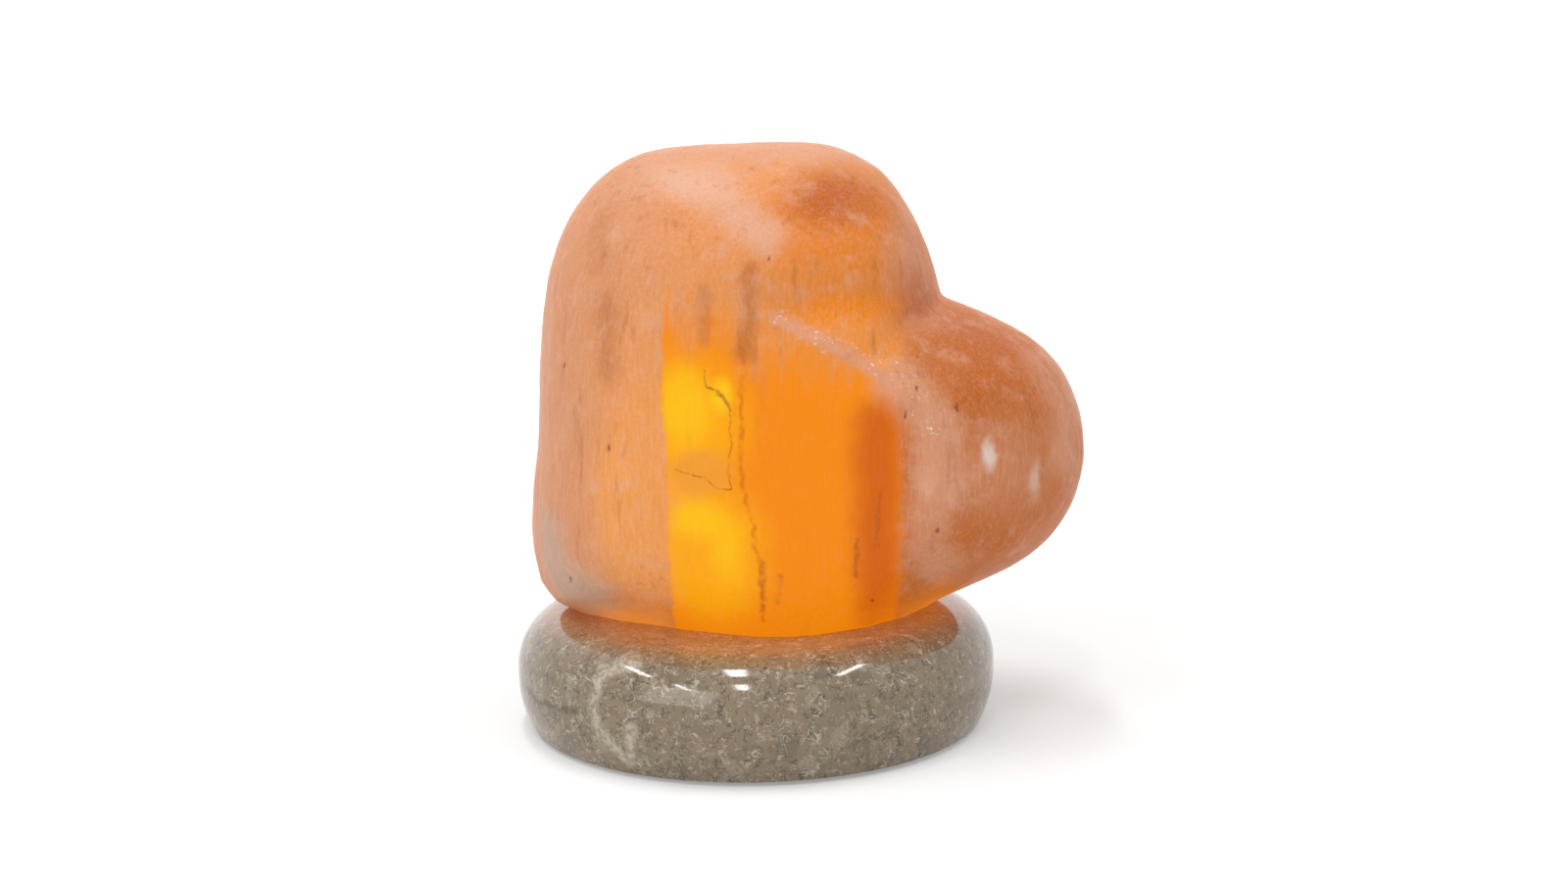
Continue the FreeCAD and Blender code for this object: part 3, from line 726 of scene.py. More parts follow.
# %% Masks
class Painting(Finish):
    """A finish with masks, drawn in the XZ plane in millimetres."""

    def both(self, *masks):
        """The product of masks or other numbers."""
        total = masks[0]
        for mask in masks[1:]:
            total = self.math("MULTIPLY", total, mask)
        return total

    def patch(self, vector, centre, radii, soft=0.5):
        """1 inside an ellipse, fading to 0 outside."""
        away = self.vector("SUBTRACT", vector, (centre[0], 0.0, centre[1]))
        shrunk = self.scaled(away, (1 / radii[0], 0.0, 1 / radii[1]))
        length = self.vector("LENGTH", shrunk, output="Value")
        return self.fade(length, 1.0 + soft, 1.0 - soft)

    def line_distance(self, vector, start, end):
        """Distance to a straight line between two points."""
        along = Vector((end[0] - start[0], 0.0, end[1] - start[1]))
        away = self.vector("SUBTRACT", vector, (start[0], 0.0, start[1]))
        away = self.scaled(away, (1.0, 0.0, 1.0))
        share = self.vector("DOT_PRODUCT", away, along / along.length_squared, output="Value")
        held = self.math("ADD", share, 0.0, clamp=True)
        on_line = add(self.tree, "ShaderNodeVectorMath", {0: tuple(along), "Scale": held},
                      operation="SCALE").outputs[0]
        return self.vector("DISTANCE", away, on_line, output="Value")

    def stroke(self, vector, corners, width, soft=0.5):
        """1 along a chain of points, fading to 0 at the width to each side."""
        nearest = None
        for start, end in zip(corners, corners[1:]):
            here = self.line_distance(vector, start, end)
            nearest = here if nearest is None else self.math("MINIMUM", nearest, here)
        return self.fade(nearest, width * (1 + soft), width * (1 - soft))


# %% Salt: places to paint on
salt = Painting("rock_salt")
soft_place = salt.wobbled(salt.place, 0.07, 3.0)
rough_place = salt.wobbled(salt.wobbled(salt.place, 0.16, 1.4), 0.5, 0.6)
px, _, pz = salt.parts(soft_place)
rx = salt.parts(rough_place)[0]
front = salt.fade(salt.parts(salt.place)[1], -6.0, -18.0)      # 1 on the front, 0 at the back
print("salt:", len(salt.tree.nodes), "nodes so far")

# %% [markdown]
# The bulb stands behind the left half of the face. The salt is clearest there, in an upright
# column with a sharp left edge, where two crystals have grown together. Behind it, on the
# unseen side, the same light shows as a plain soft patch.

# %% Salt: where the light comes through
long_place = salt.scaled(salt.wobbled(salt.place, 0.12, 1.5), (0.34, 0.34, 0.05))
streaks = salt.noise(long_place, 1.0, 4.0, 0.6)                # drawn out upwards
top_edge = salt.math("MULTIPLY_ADD", streaks, 24.0, salt.math("MULTIPLY_ADD", px, 0.25, pz))
column = salt.both(front, salt.fade(rx, -17.2, -15.7), salt.fade(rx, 31.5, 28.0),
                   salt.fade(top_edge, 108.0, 88.0))
behind = salt.fade(front, 1.0, 0.0)
far_column = salt.both(behind, salt.fade(salt.math("ABSOLUTE", px), 27.0, 9.0),
                       salt.fade(pz, 98.0, 66.0))
lit = salt.math("MAXIMUM", column, salt.both(far_column, 0.8))
halo = salt.both(salt.fade(px, -41.0, -17.0), salt.fade(px, 42.0, 22.0),
                 salt.fade(pz, 112.0, 72.0))
sun = salt.math("MAXIMUM", salt.patch(rough_place, (-9.0, 68.0), (8.0, 13.0), 0.45),
                salt.patch(rough_place, (-7.0, 43.0), (8.5, 15.0), 0.45))
print("salt:", len(salt.tree.nodes), "nodes with the light's masks")

# %% Salt: broad colours
shown = salt.mix(salt.fade(px, -26.0, -6.0), PEACH, WARM)
upper = salt.both(salt.fade(px, -4.0, 14.0), salt.fade(pz, 76.0, 90.0),
                  salt.fade(pz, 121.0, 108.0))
lobe = add(salt.tree, "ShaderNodeMix", {0: front, 2: salt.fade(px, 18.0, 48.0),
                                        3: salt.fade(px, 26.0, 34.0)}).outputs[0]
# painted highlight: the salt turns paler towards its top, which faces up to the light
painted_top_light = salt.fade(pz, 117.0, 121.5)
far_sun = salt.patch(rough_place, (1.0, 58.0), (10.0, 20.0), 0.8)
far_clouds = salt.noise(salt.scaled(rough_place, (0.09, 0.09, 0.05)), 1.0, 4.0, 0.6)
for mask, colour in [
        (upper, DULL), (salt.both(halo, 0.75), HALO), (lobe, CLAY), (salt.both(painted_top_light, 0.7), PALE),
        (lit, AMBER), (salt.both(salt.both(far_column, far_sun), 0.8), SUN),
        (salt.both(salt.fade(far_clouds, 0.45, 0.62), salt.fade(front, 1.0, 0.0, 0.0, 0.5),
                   salt.fade(lit, 0.8, 0.0)), ROSE)]:
    shown = salt.mix(mask, shown, colour)
print("salt:", len(salt.tree.nodes), "nodes with the broad colours")

# %% [markdown]
# What is left is drawn as a painter would, one soft patch or stroke after the other, on a place
# that is pushed about a little, so that no edge is clean. Each has its colour, its strength and
# its points in millimetres, across and up. They lie on the front only.

# %% Salt: patches
PATCHES = [                                    # colour, strength, middle, radii, softness
    (HALO, 0.85, (-20.0, 54.0), (11.0, 21.0), 0.30),
    (RUST, 0.80, (16.0, 112.0), (7.5, 5.0), 0.80),
    (RUST, 0.40, (25.0, 114.0), (6.0, 6.0), 0.80),
    (PALE, 0.50, (32.5, 101.0), (4.5, 8.0), 0.80),
    # painted light: the valley between the lobes is brighter amber
    (AMBER, 0.85, (20.7, 91.2), (8.5, 2.6), 0.70),
    (PALE, 0.45, (37.5, 87.5), (5.0, 2.4), 0.80),
    (RUST, 0.40, (46.5, 77.0), (5.5, 9.0), 0.80),
    (ROSE, 0.45, (50.0, 58.0), (9.0, 9.0), 0.80),
    (CLAY, 0.50, (50.0, 43.0), (11.0, 6.0), 0.80),
    (FROST, 0.75, (-11.5, 117.0), (10.0, 3.6), 0.80),
    (WHITE, 0.75, (47.4, 61.7), (1.2, 2.8), 0.80),
    (WHITE, 0.40, (57.3, 55.1), (1.2, 3.0), 0.90),
]
LIT_PATCHES = [                                # the same, but only within the lit column
    (SUN, 0.95, (-12.0, 69.0), (11.0, 13.5), 0.45),
    (SUN, 0.95, (-8.0, 43.0), (10.5, 14.0), 0.45),
    (FLAME, 0.75, (-12.5, 72.5), (5.0, 6.5), 0.70),
    (FLAME, 0.90, (-5.0, 75.0), (1.8, 2.8), 0.70),
    (FLAME, 0.75, (-10.5, 50.5), (4.5, 3.6), 0.70),
    (FLAME, 0.60, (-5.0, 45.0), (3.2, 6.0), 0.80),
    (HONEY, 0.75, (-9.8, 59.8), (6.4, 4.4), 0.35),
]


def painted(colour, strength, *masks):
    """The colours so far, with one more laid over them on the front."""
    return salt.mix(salt.both(front, *masks, strength), shown, colour)


for colour, strength, middle, radii, softness in PATCHES:
    shown = painted(colour, strength, salt.patch(rough_place, middle, radii, softness))
for colour, strength, middle, radii, softness in LIT_PATCHES:
    shown = painted(colour, strength, salt.patch(rough_place, middle, radii, softness), column)
print("salt:", len(PATCHES + LIT_PATCHES), "patches")

# %% Salt: strokes
STROKES = [                                    # colour, strength, points, half width, softness
    (FROST, 0.75, [(-18.0, 119.0), (-4.0, 111.5), (4.0, 105.5)], 3.4, 0.80),
    # the next three: a pale vein along the ridge, partly painted highlight where the ridge catches
    # the light
    (PALE, 0.80, [(6.0, 89.8), (17.0, 84.2), (29.0, 77.0)], 1.3, 0.80),
    (ROSE, 0.85, [(30.0, 76.0), (36.0, 68.0), (37.5, 57.0)], 4.8, 0.60),
    (ROSE, 0.65, [(37.0, 56.0), (34.0, 44.0), (38.0, 38.0)], 4.4, 0.70),
    (RUST, 0.65, [(38.0, 91.5), (46.0, 88.5), (56.0, 83.0)], 4.6, 0.80),
    (PALE, 0.65, [(60.0, 79.0), (65.0, 70.0), (65.0, 58.0)], 3.8, 0.80),
    (GREY, 0.80, [(-44.0, 44.0), (-41.0, 36.0), (-32.0, 30.5)], 5.0, 0.80),
    (DEEP, 0.95, [(25.5, 68.0), (25.0, 46.0), (26.0, 27.0)], 4.8, 0.75),
    (BROWN, 0.45, [(0.6, 99.0), (0.5, 90.0), (-1.0, 83.0)], 1.7, 0.90),
    (BROWN, 0.35, [(-8.0, 95.0), (-8.4, 86.0)], 1.3, 0.90),
    (BROWN, 0.35, [(-27.6, 92.0), (-27.8, 79.0)], 2.4, 0.90),
    (BROWN, 0.20, [(-29.3, 108.0), (-29.0, 100.0)], 2.4, 0.90),
    (BROWN, 0.60, [(20.6, 46.0), (20.8, 38.0)], 0.5, 0.90),
    (BROWN, 0.50, [(25.1, 55.0), (25.0, 44.0)], 0.4, 0.90),
    (BROWN, 0.50, [(2.4, 41.0), (2.2, 31.0)], 0.5, 0.90),
    (BROWN, 0.45, [(5.4, 39.0), (5.2, 33.0)], 0.4, 0.90),
    (DEEP, 0.60, [(-1.1, 84.0), (-1.9, 67.0), (-1.2, 55.0), (1.8, 41.0), (1.9, 29.0)], 0.4, 0.90),
    (BROWN, 0.65, [(-14.2, 60.7), (-6.0, 56.6), (-3.9, 55.9)], 0.16, 0.90),
    (BROWN, 0.60, [(-3.7, 71.5), (-3.5, 63.0), (-3.9, 56.0)], 0.16, 0.90),
    (BROWN, 0.75, [(-8.4, 80.0), (-7.9, 77.0), (-4.7, 75.0), (-3.6, 72.0)], 0.22, 0.90),
]
FINE = 1.0                                     # strokes narrower than this are worn
worn = salt.fade(salt.noise(salt.place, 0.55, 3.0, 0.6), 0.36, 0.58, 0.25, 1.0)
for colour, strength, corners, width, softness in STROKES:
    masks = [salt.stroke(rough_place, corners, width, softness)] + [worn] * (width < FINE)
    shown = painted(colour, strength, *masks)
print("salt:", len(STROKES), "strokes")

# %% [markdown]
# Over this lie veils: streaks and hairs that follow the crystal's growth, clouds, and a fine
# grain. They fade where the light comes through. Last come flecks of dirt, white glints painted as
# highlights along the ridge, and soot along it.

# %% Salt: veils
clouds = salt.noise(rough_place, 0.17, 5.0, 0.62)
hairs = salt.noise(salt.scaled(salt.place, (1.7, 1.7, 0.22)), 1.0, 3.0, 0.6)
grain = salt.noise(salt.place, 1.5, 4.0, 0.7)
unlit, dark_salt = salt.fade(lit, 1.0, 0.0, 0.2, 1.0), salt.fade(lit, 1.0, 0.0)
VEILS = [                                      # pattern, from, to, strength, where, colour
    (streaks, 0.56, 0.74, 0.35, unlit, BROWN),
    (clouds, 0.50, 0.72, 0.38, dark_salt, FROST),
    (hairs, 0.48, 0.70, 0.08, unlit, WHITE),
    (hairs, 0.48, 0.30, 0.08, unlit, BROWN),
    (grain, 0.45, 0.72, 0.07, unlit, WHITE),
    (grain, 0.46, 0.28, 0.08, unlit, BROWN),
]
for pattern, start, end, strength, where, colour in VEILS:
    veil = salt.fade(pattern, start, end, 0.0, strength)
    shown = salt.mix(salt.both(veil, where), shown, colour)
print("salt:", len(VEILS), "veils")

# %% Salt: flecks, painted glints and soot
FLECKS = [(-28.2, 64.4), (24.3, 32.0), (33.0, 75.7), (30.9, 70.3), (41.3, 71.4), (36.8, 47.4),
          (-37.2, 79.6), (4.8, 101.5), (-37.6, 35.6)]
GLINTING = [(6.0, 89.8), (17.0, 84.0), (29.0, 78.0), (36.0, 68.0)]
SOOTY = [(30.0, 77.0), (44.0, 88.0), (56.0, 84.0)]
for middle in FLECKS:
    shown = painted(UMBER, 0.70, salt.patch(rough_place, middle, (0.28, 0.55), 0.8))
# painted highlight: white glints along the ridge
painted_glints = salt.fade(salt.noise(salt.place, 1.1, 4.0, 0.7), 0.60, 0.66)
shown = painted(WHITE, 0.80, painted_glints, salt.stroke(soft_place, GLINTING, 2.2, 0.8))
soot = salt.fade(salt.noise(salt.place, 1.3, 3.0, 0.6), 0.38, 0.32)
shown = painted(UMBER, 0.45, soot, salt.stroke(soft_place, SOOTY, 3.0, 0.8))
print("salt:", len(FLECKS), "flecks,", len(salt.tree.nodes), "nodes in all")

# %% [markdown]
# The colour that shows is now shared out. Where the glow is strong, most of it is light of the
# salt's own and little is left to the surface, so that the sum stays the same under any lamp.
# The underside round the bulb glows as well, and lights the stone's top a little, and all the rest
# of the salt keeps a faint painted glow.

# %% Salt: surface and glow
HALO_GLOW, LIT_GLOW, SUN_GLOW, LEAST_SALT_GLOW = 0.30, 0.80, 0.85, 0.12
glow = salt.math("MAXIMUM", salt.both(halo, HALO_GLOW), salt.both(lit, LIT_GLOW))
glow = salt.math("MAXIMUM", glow, salt.both(sun, lit, SUN_GLOW))
facing = salt.parts(add(salt.tree, "ShaderNodeNewGeometry").outputs["Normal"])[2]
below = salt.both(salt.fade(facing, -0.45, -0.9), salt.fade(pz, 40.0, 26.0, 0.0, 0.7),
                  salt.fade(px, 52.0, 36.0), salt.fade(px, -44.0, -26.0))
shown = salt.mix(below, shown, AMBER)
# painted glow: the underside round the bulb, and a faint glow all over the salt
glow = salt.math("MAXIMUM", glow, salt.math("MAXIMUM", below, LEAST_SALT_GLOW))
kept = salt.math("SUBTRACT", 1.0, glow)
surface = add(salt.tree, "ShaderNodeVectorMath", {0: shown, "Scale": kept}, operation="SCALE")
dents = salt.bump(salt.noise(salt.place, 0.28, 3.0, 0.5), 0.6 * MM, 0.5)
salt.set(Base_Color=surface.outputs[0], Emission_Color=shown, Emission_Strength=glow,
         Roughness=0.42, Specular_IOR_Level=0.14,
         Normal=salt.bump(grain, 0.12 * MM, 0.5, over=dents))
place_piece(crystal, salt, "base", "salt_crystal")

# %% [markdown]
# ## The stone base: shape
# The base is a slice of stone, turned and polished to a soft cushion shape. Its outline is drawn
# with curve nodes from four named sizes, and then turned by the same steps as every round piece.


# %% Stone: outline tree
def stone_tree():
    """The outline of the stone from its sizes, turned about its axis."""
    tree, inputs = geometry_tree("turned stone", [
        ("Radius", "Float", 0.051), ("Foot radius", "Float", 0.0486), ("Underside", "Float", 0.001),
        ("Waist", "Float", 0.0107), ("Top", "Float", 0.0246), ("Shoulder", "Float", 0.0115),
        ("Steps round", "Int", 192), ("Finish", "Material", None)])

    def corner(x, z):
        """A point of the outline."""
        return add(tree, "ShaderNodeCombineXYZ", {"X": x, "Z": z}).outputs[0]

    def straight(start, end):
        """A straight run of the outline."""
        return add(tree, "GeometryNodeCurvePrimitiveLine", {"Start": start, "End": end}).outputs[0]

    radius, foot, underside = inputs["Radius"], inputs["Foot radius"], inputs["Underside"]
    waist, top, shoulder = inputs["Waist"], inputs["Top"], inputs["Shoulder"]
    inset = calc(tree, "SUBTRACT", radius, shoulder)
    spring = calc(tree, "SUBTRACT", top, shoulder)
    knee = calc(tree, "MULTIPLY", calc(tree, "ADD", underside, waist), 0.5)
    below = straight(corner(0.0, underside), corner(foot, underside))
    flank = add(tree, "GeometryNodeCurveQuadraticBezier", {
        "Resolution": 12, "Start": corner(foot, underside), "Middle": corner(radius, knee),
        "End": corner(radius, waist)}).outputs[0]
    side = straight(corner(radius, waist), corner(radius, spring))
    arc = add(tree, "GeometryNodeCurveArc", {
        "Resolution": 20, "Radius": shoulder, "Start Angle": 0.0, "Sweep Angle": math.pi / 2},
        mode="RADIUS").outputs["Curve"]
    arc = add(tree, "GeometryNodeTransform", {
        "Geometry": arc, "Rotation": (math.pi / 2, 0.0, 0.0),
        "Translation": corner(inset, spring)}).outputs[0]
    above = straight(corner(inset, top), corner(0.0, top))
    joined = add(tree, "GeometryNodeJoinGeometry")
    for run in (above, arc, side, flank, below):
        tree.links.new(run, joined.inputs[0])
    wire = add(tree, "GeometryNodeCurveToMesh", {0: joined.outputs[0]}).outputs[0]
    wire = add(tree, "GeometryNodeMergeByDistance", {"Geometry": wire, "Distance": 0.001 * MM})
    chain = add(tree, "GeometryNodeMeshToCurve", {0: wire.outputs[0]}).outputs[0]
    outline = add(tree, "GeometryNodeCurveToMesh", {0: chain}).outputs[0]
    finish_tree(tree, wrap_round(tree, outline, inputs["Steps round"]), inputs["Finish"])
    return tree


# %% Stone: turning
stone = new_piece("stone")
give_tree(stone, stone_tree(), Radius=stone_radius, Foot_radius=48.6 * MM, Underside=stone_low.z,
          Waist=stone_low.z + 9.7 * MM, Top=stone_high.z, Shoulder=11.5 * MM, Steps_round=192)
settle(stone)
print("turned stone:", len(stone.data.polygons), "faces")

# %% [markdown]
# Then the stone is drilled as the real one is: a chamfered well for the lampholder, a stepped hole
# for each screw, and a channel along the underside in which the cord leaves at the back.


# %% Stone: drilling
def box_cutter(name, low, high, round_top=0.0):
    """A bar between two corners, with its two upper long edges rounded if wanted."""
    bar = bmesh.new()
    bmesh.ops.create_cube(bar, size=1.0)
    low, high = Vector(low), Vector(high)
    for corner in bar.verts:
        corner.co = Vector(low[n] + (high[n] - low[n]) * (corner.co[n] + 0.5) for n in range(3))
    if round_top:
        upper = [edge for edge in bar.edges if all(v.co.z > high.z - 1e-6 for v in edge.verts)
                 and abs(edge.verts[0].co.x - edge.verts[1].co.x) < 1e-6]
        bmesh.ops.bevel(bar, geom=upper, offset=round_top, segments=6, profile=0.5,
                        affect="EDGES")
    piece = new_piece(name)
    bar.to_mesh(piece.data)
    bar.free()
    return piece


hole_radius, chamfer = 19.0 * MM, 0.8 * MM
channel_half, channel_depth = 4.0 * MM, 8.0 * MM
counterbore, counterbore_depth = 5.0 * MM, 12.0 * MM
screw_hole = 2.15 * MM
beyond = 2 * MM                                # how far a cutter sticks out of the stone

low, high = stone_low.z, stone_high.z
well = turned_piece("well", [
    (0.0, low - beyond), (hole_radius + chamfer + beyond, low - beyond),
    (hole_radius, low + chamfer), (hole_radius, high - chamfer),
    (hole_radius + chamfer + beyond, high + beyond), (0.0, high + beyond)], steps=128)
recesses = [moved(turned_piece("recess", [
    (0.0, low - beyond), (counterbore, low - beyond), (counterbore, low + counterbore_depth),
    (screw_hole, low + counterbore_depth), (screw_hole, high + beyond), (0.0, high + beyond)],
    steps=48), side * screw_offset) for side in (-1, 1)]
channel = box_cutter("channel", (-channel_half, 0.0, low - 8 * MM),
                     (channel_half, 60 * MM, low + channel_depth), round_top=1.5 * MM)
carve(stone, [well, *recesses, channel])
soften(stone)
print("stone:", len(stone.data.polygons), "faces")

# %% [markdown]
# ## The stone base: finish
# The stone is a greige limestone full of broken shells. Broken fragments come from Voronoi
# cells on a pushed-about place, in two sizes and with a tone for each cell. Thin pale curls are
# where a noise crosses its middle value. The polish is a low roughness, hardly broken by bump.

# %% Stone: colours
STONE = linear(141, 123, 96)
SHADE = linear(112, 99, 77)
DARK = linear(86, 75, 56)
CREAM = linear(174, 161, 138)
SHELL = linear(200, 190, 170)
OLIVE = linear(78, 70, 46)

marble = Painting("marble")
clouds = marble.noise(marble.place, 0.10, 4.0, 0.6)
colour = marble.mix(marble.fade(clouds, 0.36, 0.66, 0.0, 0.45), STONE, SHADE)
print("stone:", [round(part, 3) for part in STONE[:3]], "before the shells")


# %% Stone: fragments of shell
def fragments(scale, size, share, seed):
    """Broken bits of one size: round the middle of some cells, as many as the share says."""
    place = marble.vector("ADD", bent, (seed * 31.7, seed * 17.3, seed * 23.9))
    near = marble.fade(marble.cells(place, scale), size, size * 0.8)
    chosen = marble.parts(marble.cells(place, scale, output="Color"))[0]
    return marble.both(near, marble.math("LESS_THAN", chosen, share))


bent = marble.wobbled(marble.place, 0.22, 2.4, 3.0)
FRAGMENTS = [                                  # cells in a mm, size, share, colour, strength
    (0.14, 0.42, 0.45, SHADE, 0.60), (0.19, 0.36, 0.35, CREAM, 0.35),
    (0.42, 0.40, 0.40, SHADE, 0.55), (0.48, 0.34, 0.30, CREAM, 0.55),
    (1.00, 0.36, 0.40, DARK, 0.45), (1.10, 0.34, 0.40, CREAM, 0.55),
]
for seed, (scale, size, share, tint, strength) in enumerate(FRAGMENTS, start=1):
    colour = marble.mix(marble.both(fragments(scale, size, share, seed), strength), colour, tint)
print("stone:", len(FRAGMENTS), "kinds of fragment")


# %% Stone: curls
def curls(scale, width, seed, share):
    """Thin hooks, where a swirling noise crosses its middle, broken off by another noise."""
    place = marble.vector("ADD", marble.place, (seed * 13.1, seed * 29.3, seed * 7.7))
    swirl = marble.noise(place, scale, 1.0, 0.5, 1.6)
    off_middle = marble.math("ABSOLUTE", marble.math("SUBTRACT", swirl, 0.5))
    some = marble.fade(marble.noise(place, scale * 0.8, 1.0), share, share + 0.05)
    return marble.both(marble.fade(off_middle, width, width * 0.4), some)


CURLS = [                                      # scale, width, seed, share, strength, colour
    (0.30, 0.026, 1, 0.53, 0.75, SHELL), (0.45, 0.040, 2, 0.50, 0.90, DARK),
    (0.80, 0.040, 3, 0.57, 0.60, SHELL),
]
for scale, width, seed, share, strength, tint in CURLS:
    colour = marble.mix(marble.both(curls(scale, width, seed, share), strength), colour, tint)
print("stone:", len(CURLS), "kinds of curl")

# %% [markdown]
# Two marks are this stone's own, and painted: a pale loop at the front left, the section of a
# large shell, and an olive vein beside it. The stone's top near the heart has a painted glow of its
# own, for the salt's warm light falling on it.

# %% Stone: its own marks, and the salt's light painted on its top
LOOP = [(-23.0, 23.0), (-29.5, 21.0), (-32.0, 15.0), (-30.0, 8.0), (-24.5, 3.5), (-24.0, 11.0)]
VEIN = [(-52.0, 14.0), (-45.0, 11.0), (-36.0, 12.0)]
_, depth, height = marble.parts(marble.place)
crumbs = marble.noise(marble.place, 0.9, 3.0)
loop = marble.stroke(marble.wobbled(marble.place, 0.3, 1.0), LOOP, 1.0, 0.8)
loop = marble.both(loop, marble.fade(depth, -10.0, -20.0),
                   marble.fade(crumbs, 0.35, 0.6, 0.2, 0.75))
colour = marble.mix(loop, colour, SHELL)
vein = marble.stroke(marble.wobbled(marble.place, 0.2, 0.8), VEIN, 0.7, 0.9)
colour = marble.mix(marble.both(vein, marble.fade(crumbs, 0.3, 0.6, 0.3, 0.9)), colour, OLIVE)
from_heart = marble.scaled(marble.place, (1 / 50, 1 / 44, 0.0))
from_heart = marble.vector("LENGTH", from_heart, output="Value")
# painted light: a warm glow on the stone's top round the heart's foot, for the salt's light falling
# there
painted_salt_glow = marble.both(marble.fade(height, 19.5, 24.4), marble.fade(from_heart, 1.08, 0.82))
marble.set(Base_Color=colour, Roughness=0.09, Specular_IOR_Level=0.65,
           Emission_Color=linear(226, 118, 62), Emission_Strength=marble.both(painted_salt_glow, 0.17))
place_piece(stone, marble, "base", "marble_base")

# %% [markdown]
# ## The felt pad
# A millimetre of felt under the stone keeps it from scratching a table. It is cut from the sheet
# with a knife, so its edge is upright, with a slight fluff. The pad is turned like the stone, and
# the cord's way and the two round holes for the key are cut out of it.

# %% Felt: shape and finish
pad_low, pad_high = heights("felt_pad")
fluff = 0.15 * MM
rim, hole, opening = 45.6 * MM, 21.0 * MM, 6.0 * MM
felt = turned_piece("felt", [
    (hole, pad_low), (rim - fluff, pad_low), (rim, pad_low + fluff), (rim, pad_high - fluff),
    (rim - fluff, pad_high), (hole, pad_high), (hole, pad_low)], steps=160)
slot = box_cutter("slot", (-opening, 0.0, -MM), (opening, 60 * MM, 3 * MM))
punches = [moved(turned_piece("punch", [
    (0.0, -MM), (opening, -MM), (opening, 3 * MM), (0.0, 3 * MM)], steps=48),
    side * screw_offset) for side in (-1, 1)]
carve(felt, [slot, *punches])
fuzz = Finish("felt")
fibres = fuzz.noise(fuzz.wobbled(fuzz.place, 1.1, 0.8), 5.0, 6.0, 0.75)
fuzz.set(Base_Color=fuzz.mix(fuzz.fade(fibres, 0.35, 0.7), linear(34, 33, 32), linear(78, 76, 72)),
         Roughness=0.95, Sheen_Weight=0.4, Specular_IOR_Level=0.1,
         Normal=fuzz.bump(fibres, 0.25 * MM, 0.8))
place_piece(felt, fuzz, "base", "felt_pad")

# %% [markdown]
# ## Screws, washers and plugs
# Two long screws hold the salt on the stone. Each sinks in a recess under the stone and bites in a
# nylon plug in the salt. A thread is only a wave that climbs by one pitch in each turn, so the
# lathe tree makes it. The hexagonal socket is cut with a prism, turned in six steps. The left and
# the right one are joined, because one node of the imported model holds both.


# %% Metal finishes
def metal(name, colour, roughness, streak=(0.5, 0.5, 6.0), stain=0.25):
    """A metal with fine marks drawn out across one direction, and slightly uneven tone."""
    finish = Finish(name)
    marks = finish.noise(finish.scaled(finish.place, streak), 1.0, 4.0, 0.6)
    cloud = finish.noise(finish.place, 0.35, 3.0)
    dark = tuple(part * (1 - stain) for part in colour[:3]) + (1.0,)
    finish.set(Base_Color=finish.mix(finish.fade(cloud, 0.35, 0.7), colour, dark), Metallic=1.0,
               Roughness=finish.fade(marks, 0.3, 0.7, roughness * 0.8, roughness * 1.25),
               Normal=finish.bump(marks, 0.03 * MM, 0.4))
    return finish


steel = metal("screw_steel", (0.60, 0.60, 0.61, 1.0), 0.32)

# %% Screws
def pair(name, make):
    """Two of a piece, at the two screws, as one piece that stands for one node."""
    whole = bmesh.new()
    for side in (-1, 1):
        piece = moved(make(), side * screw_offset)
        whole.from_mesh(piece.data)
        bpy.data.objects.remove(piece)
    made = new_piece(name)
    whole.to_mesh(made.data)
    whole.free()
    made.data.set_sharp_from_angle(angle=math.radians(35))
    return made


head_low, screw_tip = heights("crystal_screws")
head_top = head_low + 2.6 * MM
shank, head, head_edge = 1.75 * MM, 3.7 * MM, 0.5 * MM
key = 1.25 * MM / math.cos(math.pi / 6)        # the socket's radius at its corners
key_depth = 1.4 * MM
screw_pitch, screw_thread = 1.25 * MM, 0.42 * MM


def make_screw():
    """A socket screw with its thread, on the lamp's axis."""
    rows = np.linspace(head_top + 0.3 * MM, screw_tip - 1.6 * MM, 170)
    screw = turned_piece("screw", [
        (0.0, head_low), (head - head_edge, head_low), (head, head_low + head_edge),
        (head, head_top), (shank, head_top), *[(shank, z) for z in rows],
        (0.4 * shank, screw_tip), (0.0, screw_tip)], steps=28,
        Waves_round=1, Climb=math.tau / screw_pitch, Depth=screw_thread,
        Start=head_top + 4 * MM, End=screw_tip + MM)
    socket = turned_piece("socket", [
        (0.0, head_low - MM), (key, head_low - MM), (key, head_low + key_depth),
        (0.0, head_low + key_depth + 0.3 * MM)], steps=6)
    return carve(screw, [socket])


place_piece(pair("screws", make_screw), steel, "base", "crystal_screws")
dress("screw_washers", steel)

# %% Plugs
plug_low, plug_top = heights("screw_plugs")
plug_radius, plug_bore = 3.0 * MM, 1.8 * MM
BARBS, barb = 7, 0.35 * MM
barb_step, barb_rise = 2.3 * MM, 1.9 * MM


def make_plug():
    """A barbed plug, split across so that it can spread."""
    teeth = []
    for number in range(BARBS):
        low = plug_low + 2 * MM + number * barb_step
        teeth += [(plug_radius - barb, low), (plug_radius, low + barb_rise),
                  (plug_radius, low + barb_rise + 0.3 * MM)]
    plug = turned_piece("plug", [
        (plug_bore, plug_low), (plug_radius, plug_low), (plug_radius, plug_low + 1.9 * MM), *teeth,
        (2.5 * MM, plug_top), (plug_bore, plug_top), (plug_bore, plug_low)], steps=32)
    return carve(plug, [box_cutter("split", (-5 * MM, -0.4 * MM, plug_low + 5 * MM),
                                   (5 * MM, 0.4 * MM, plug_top + MM))])


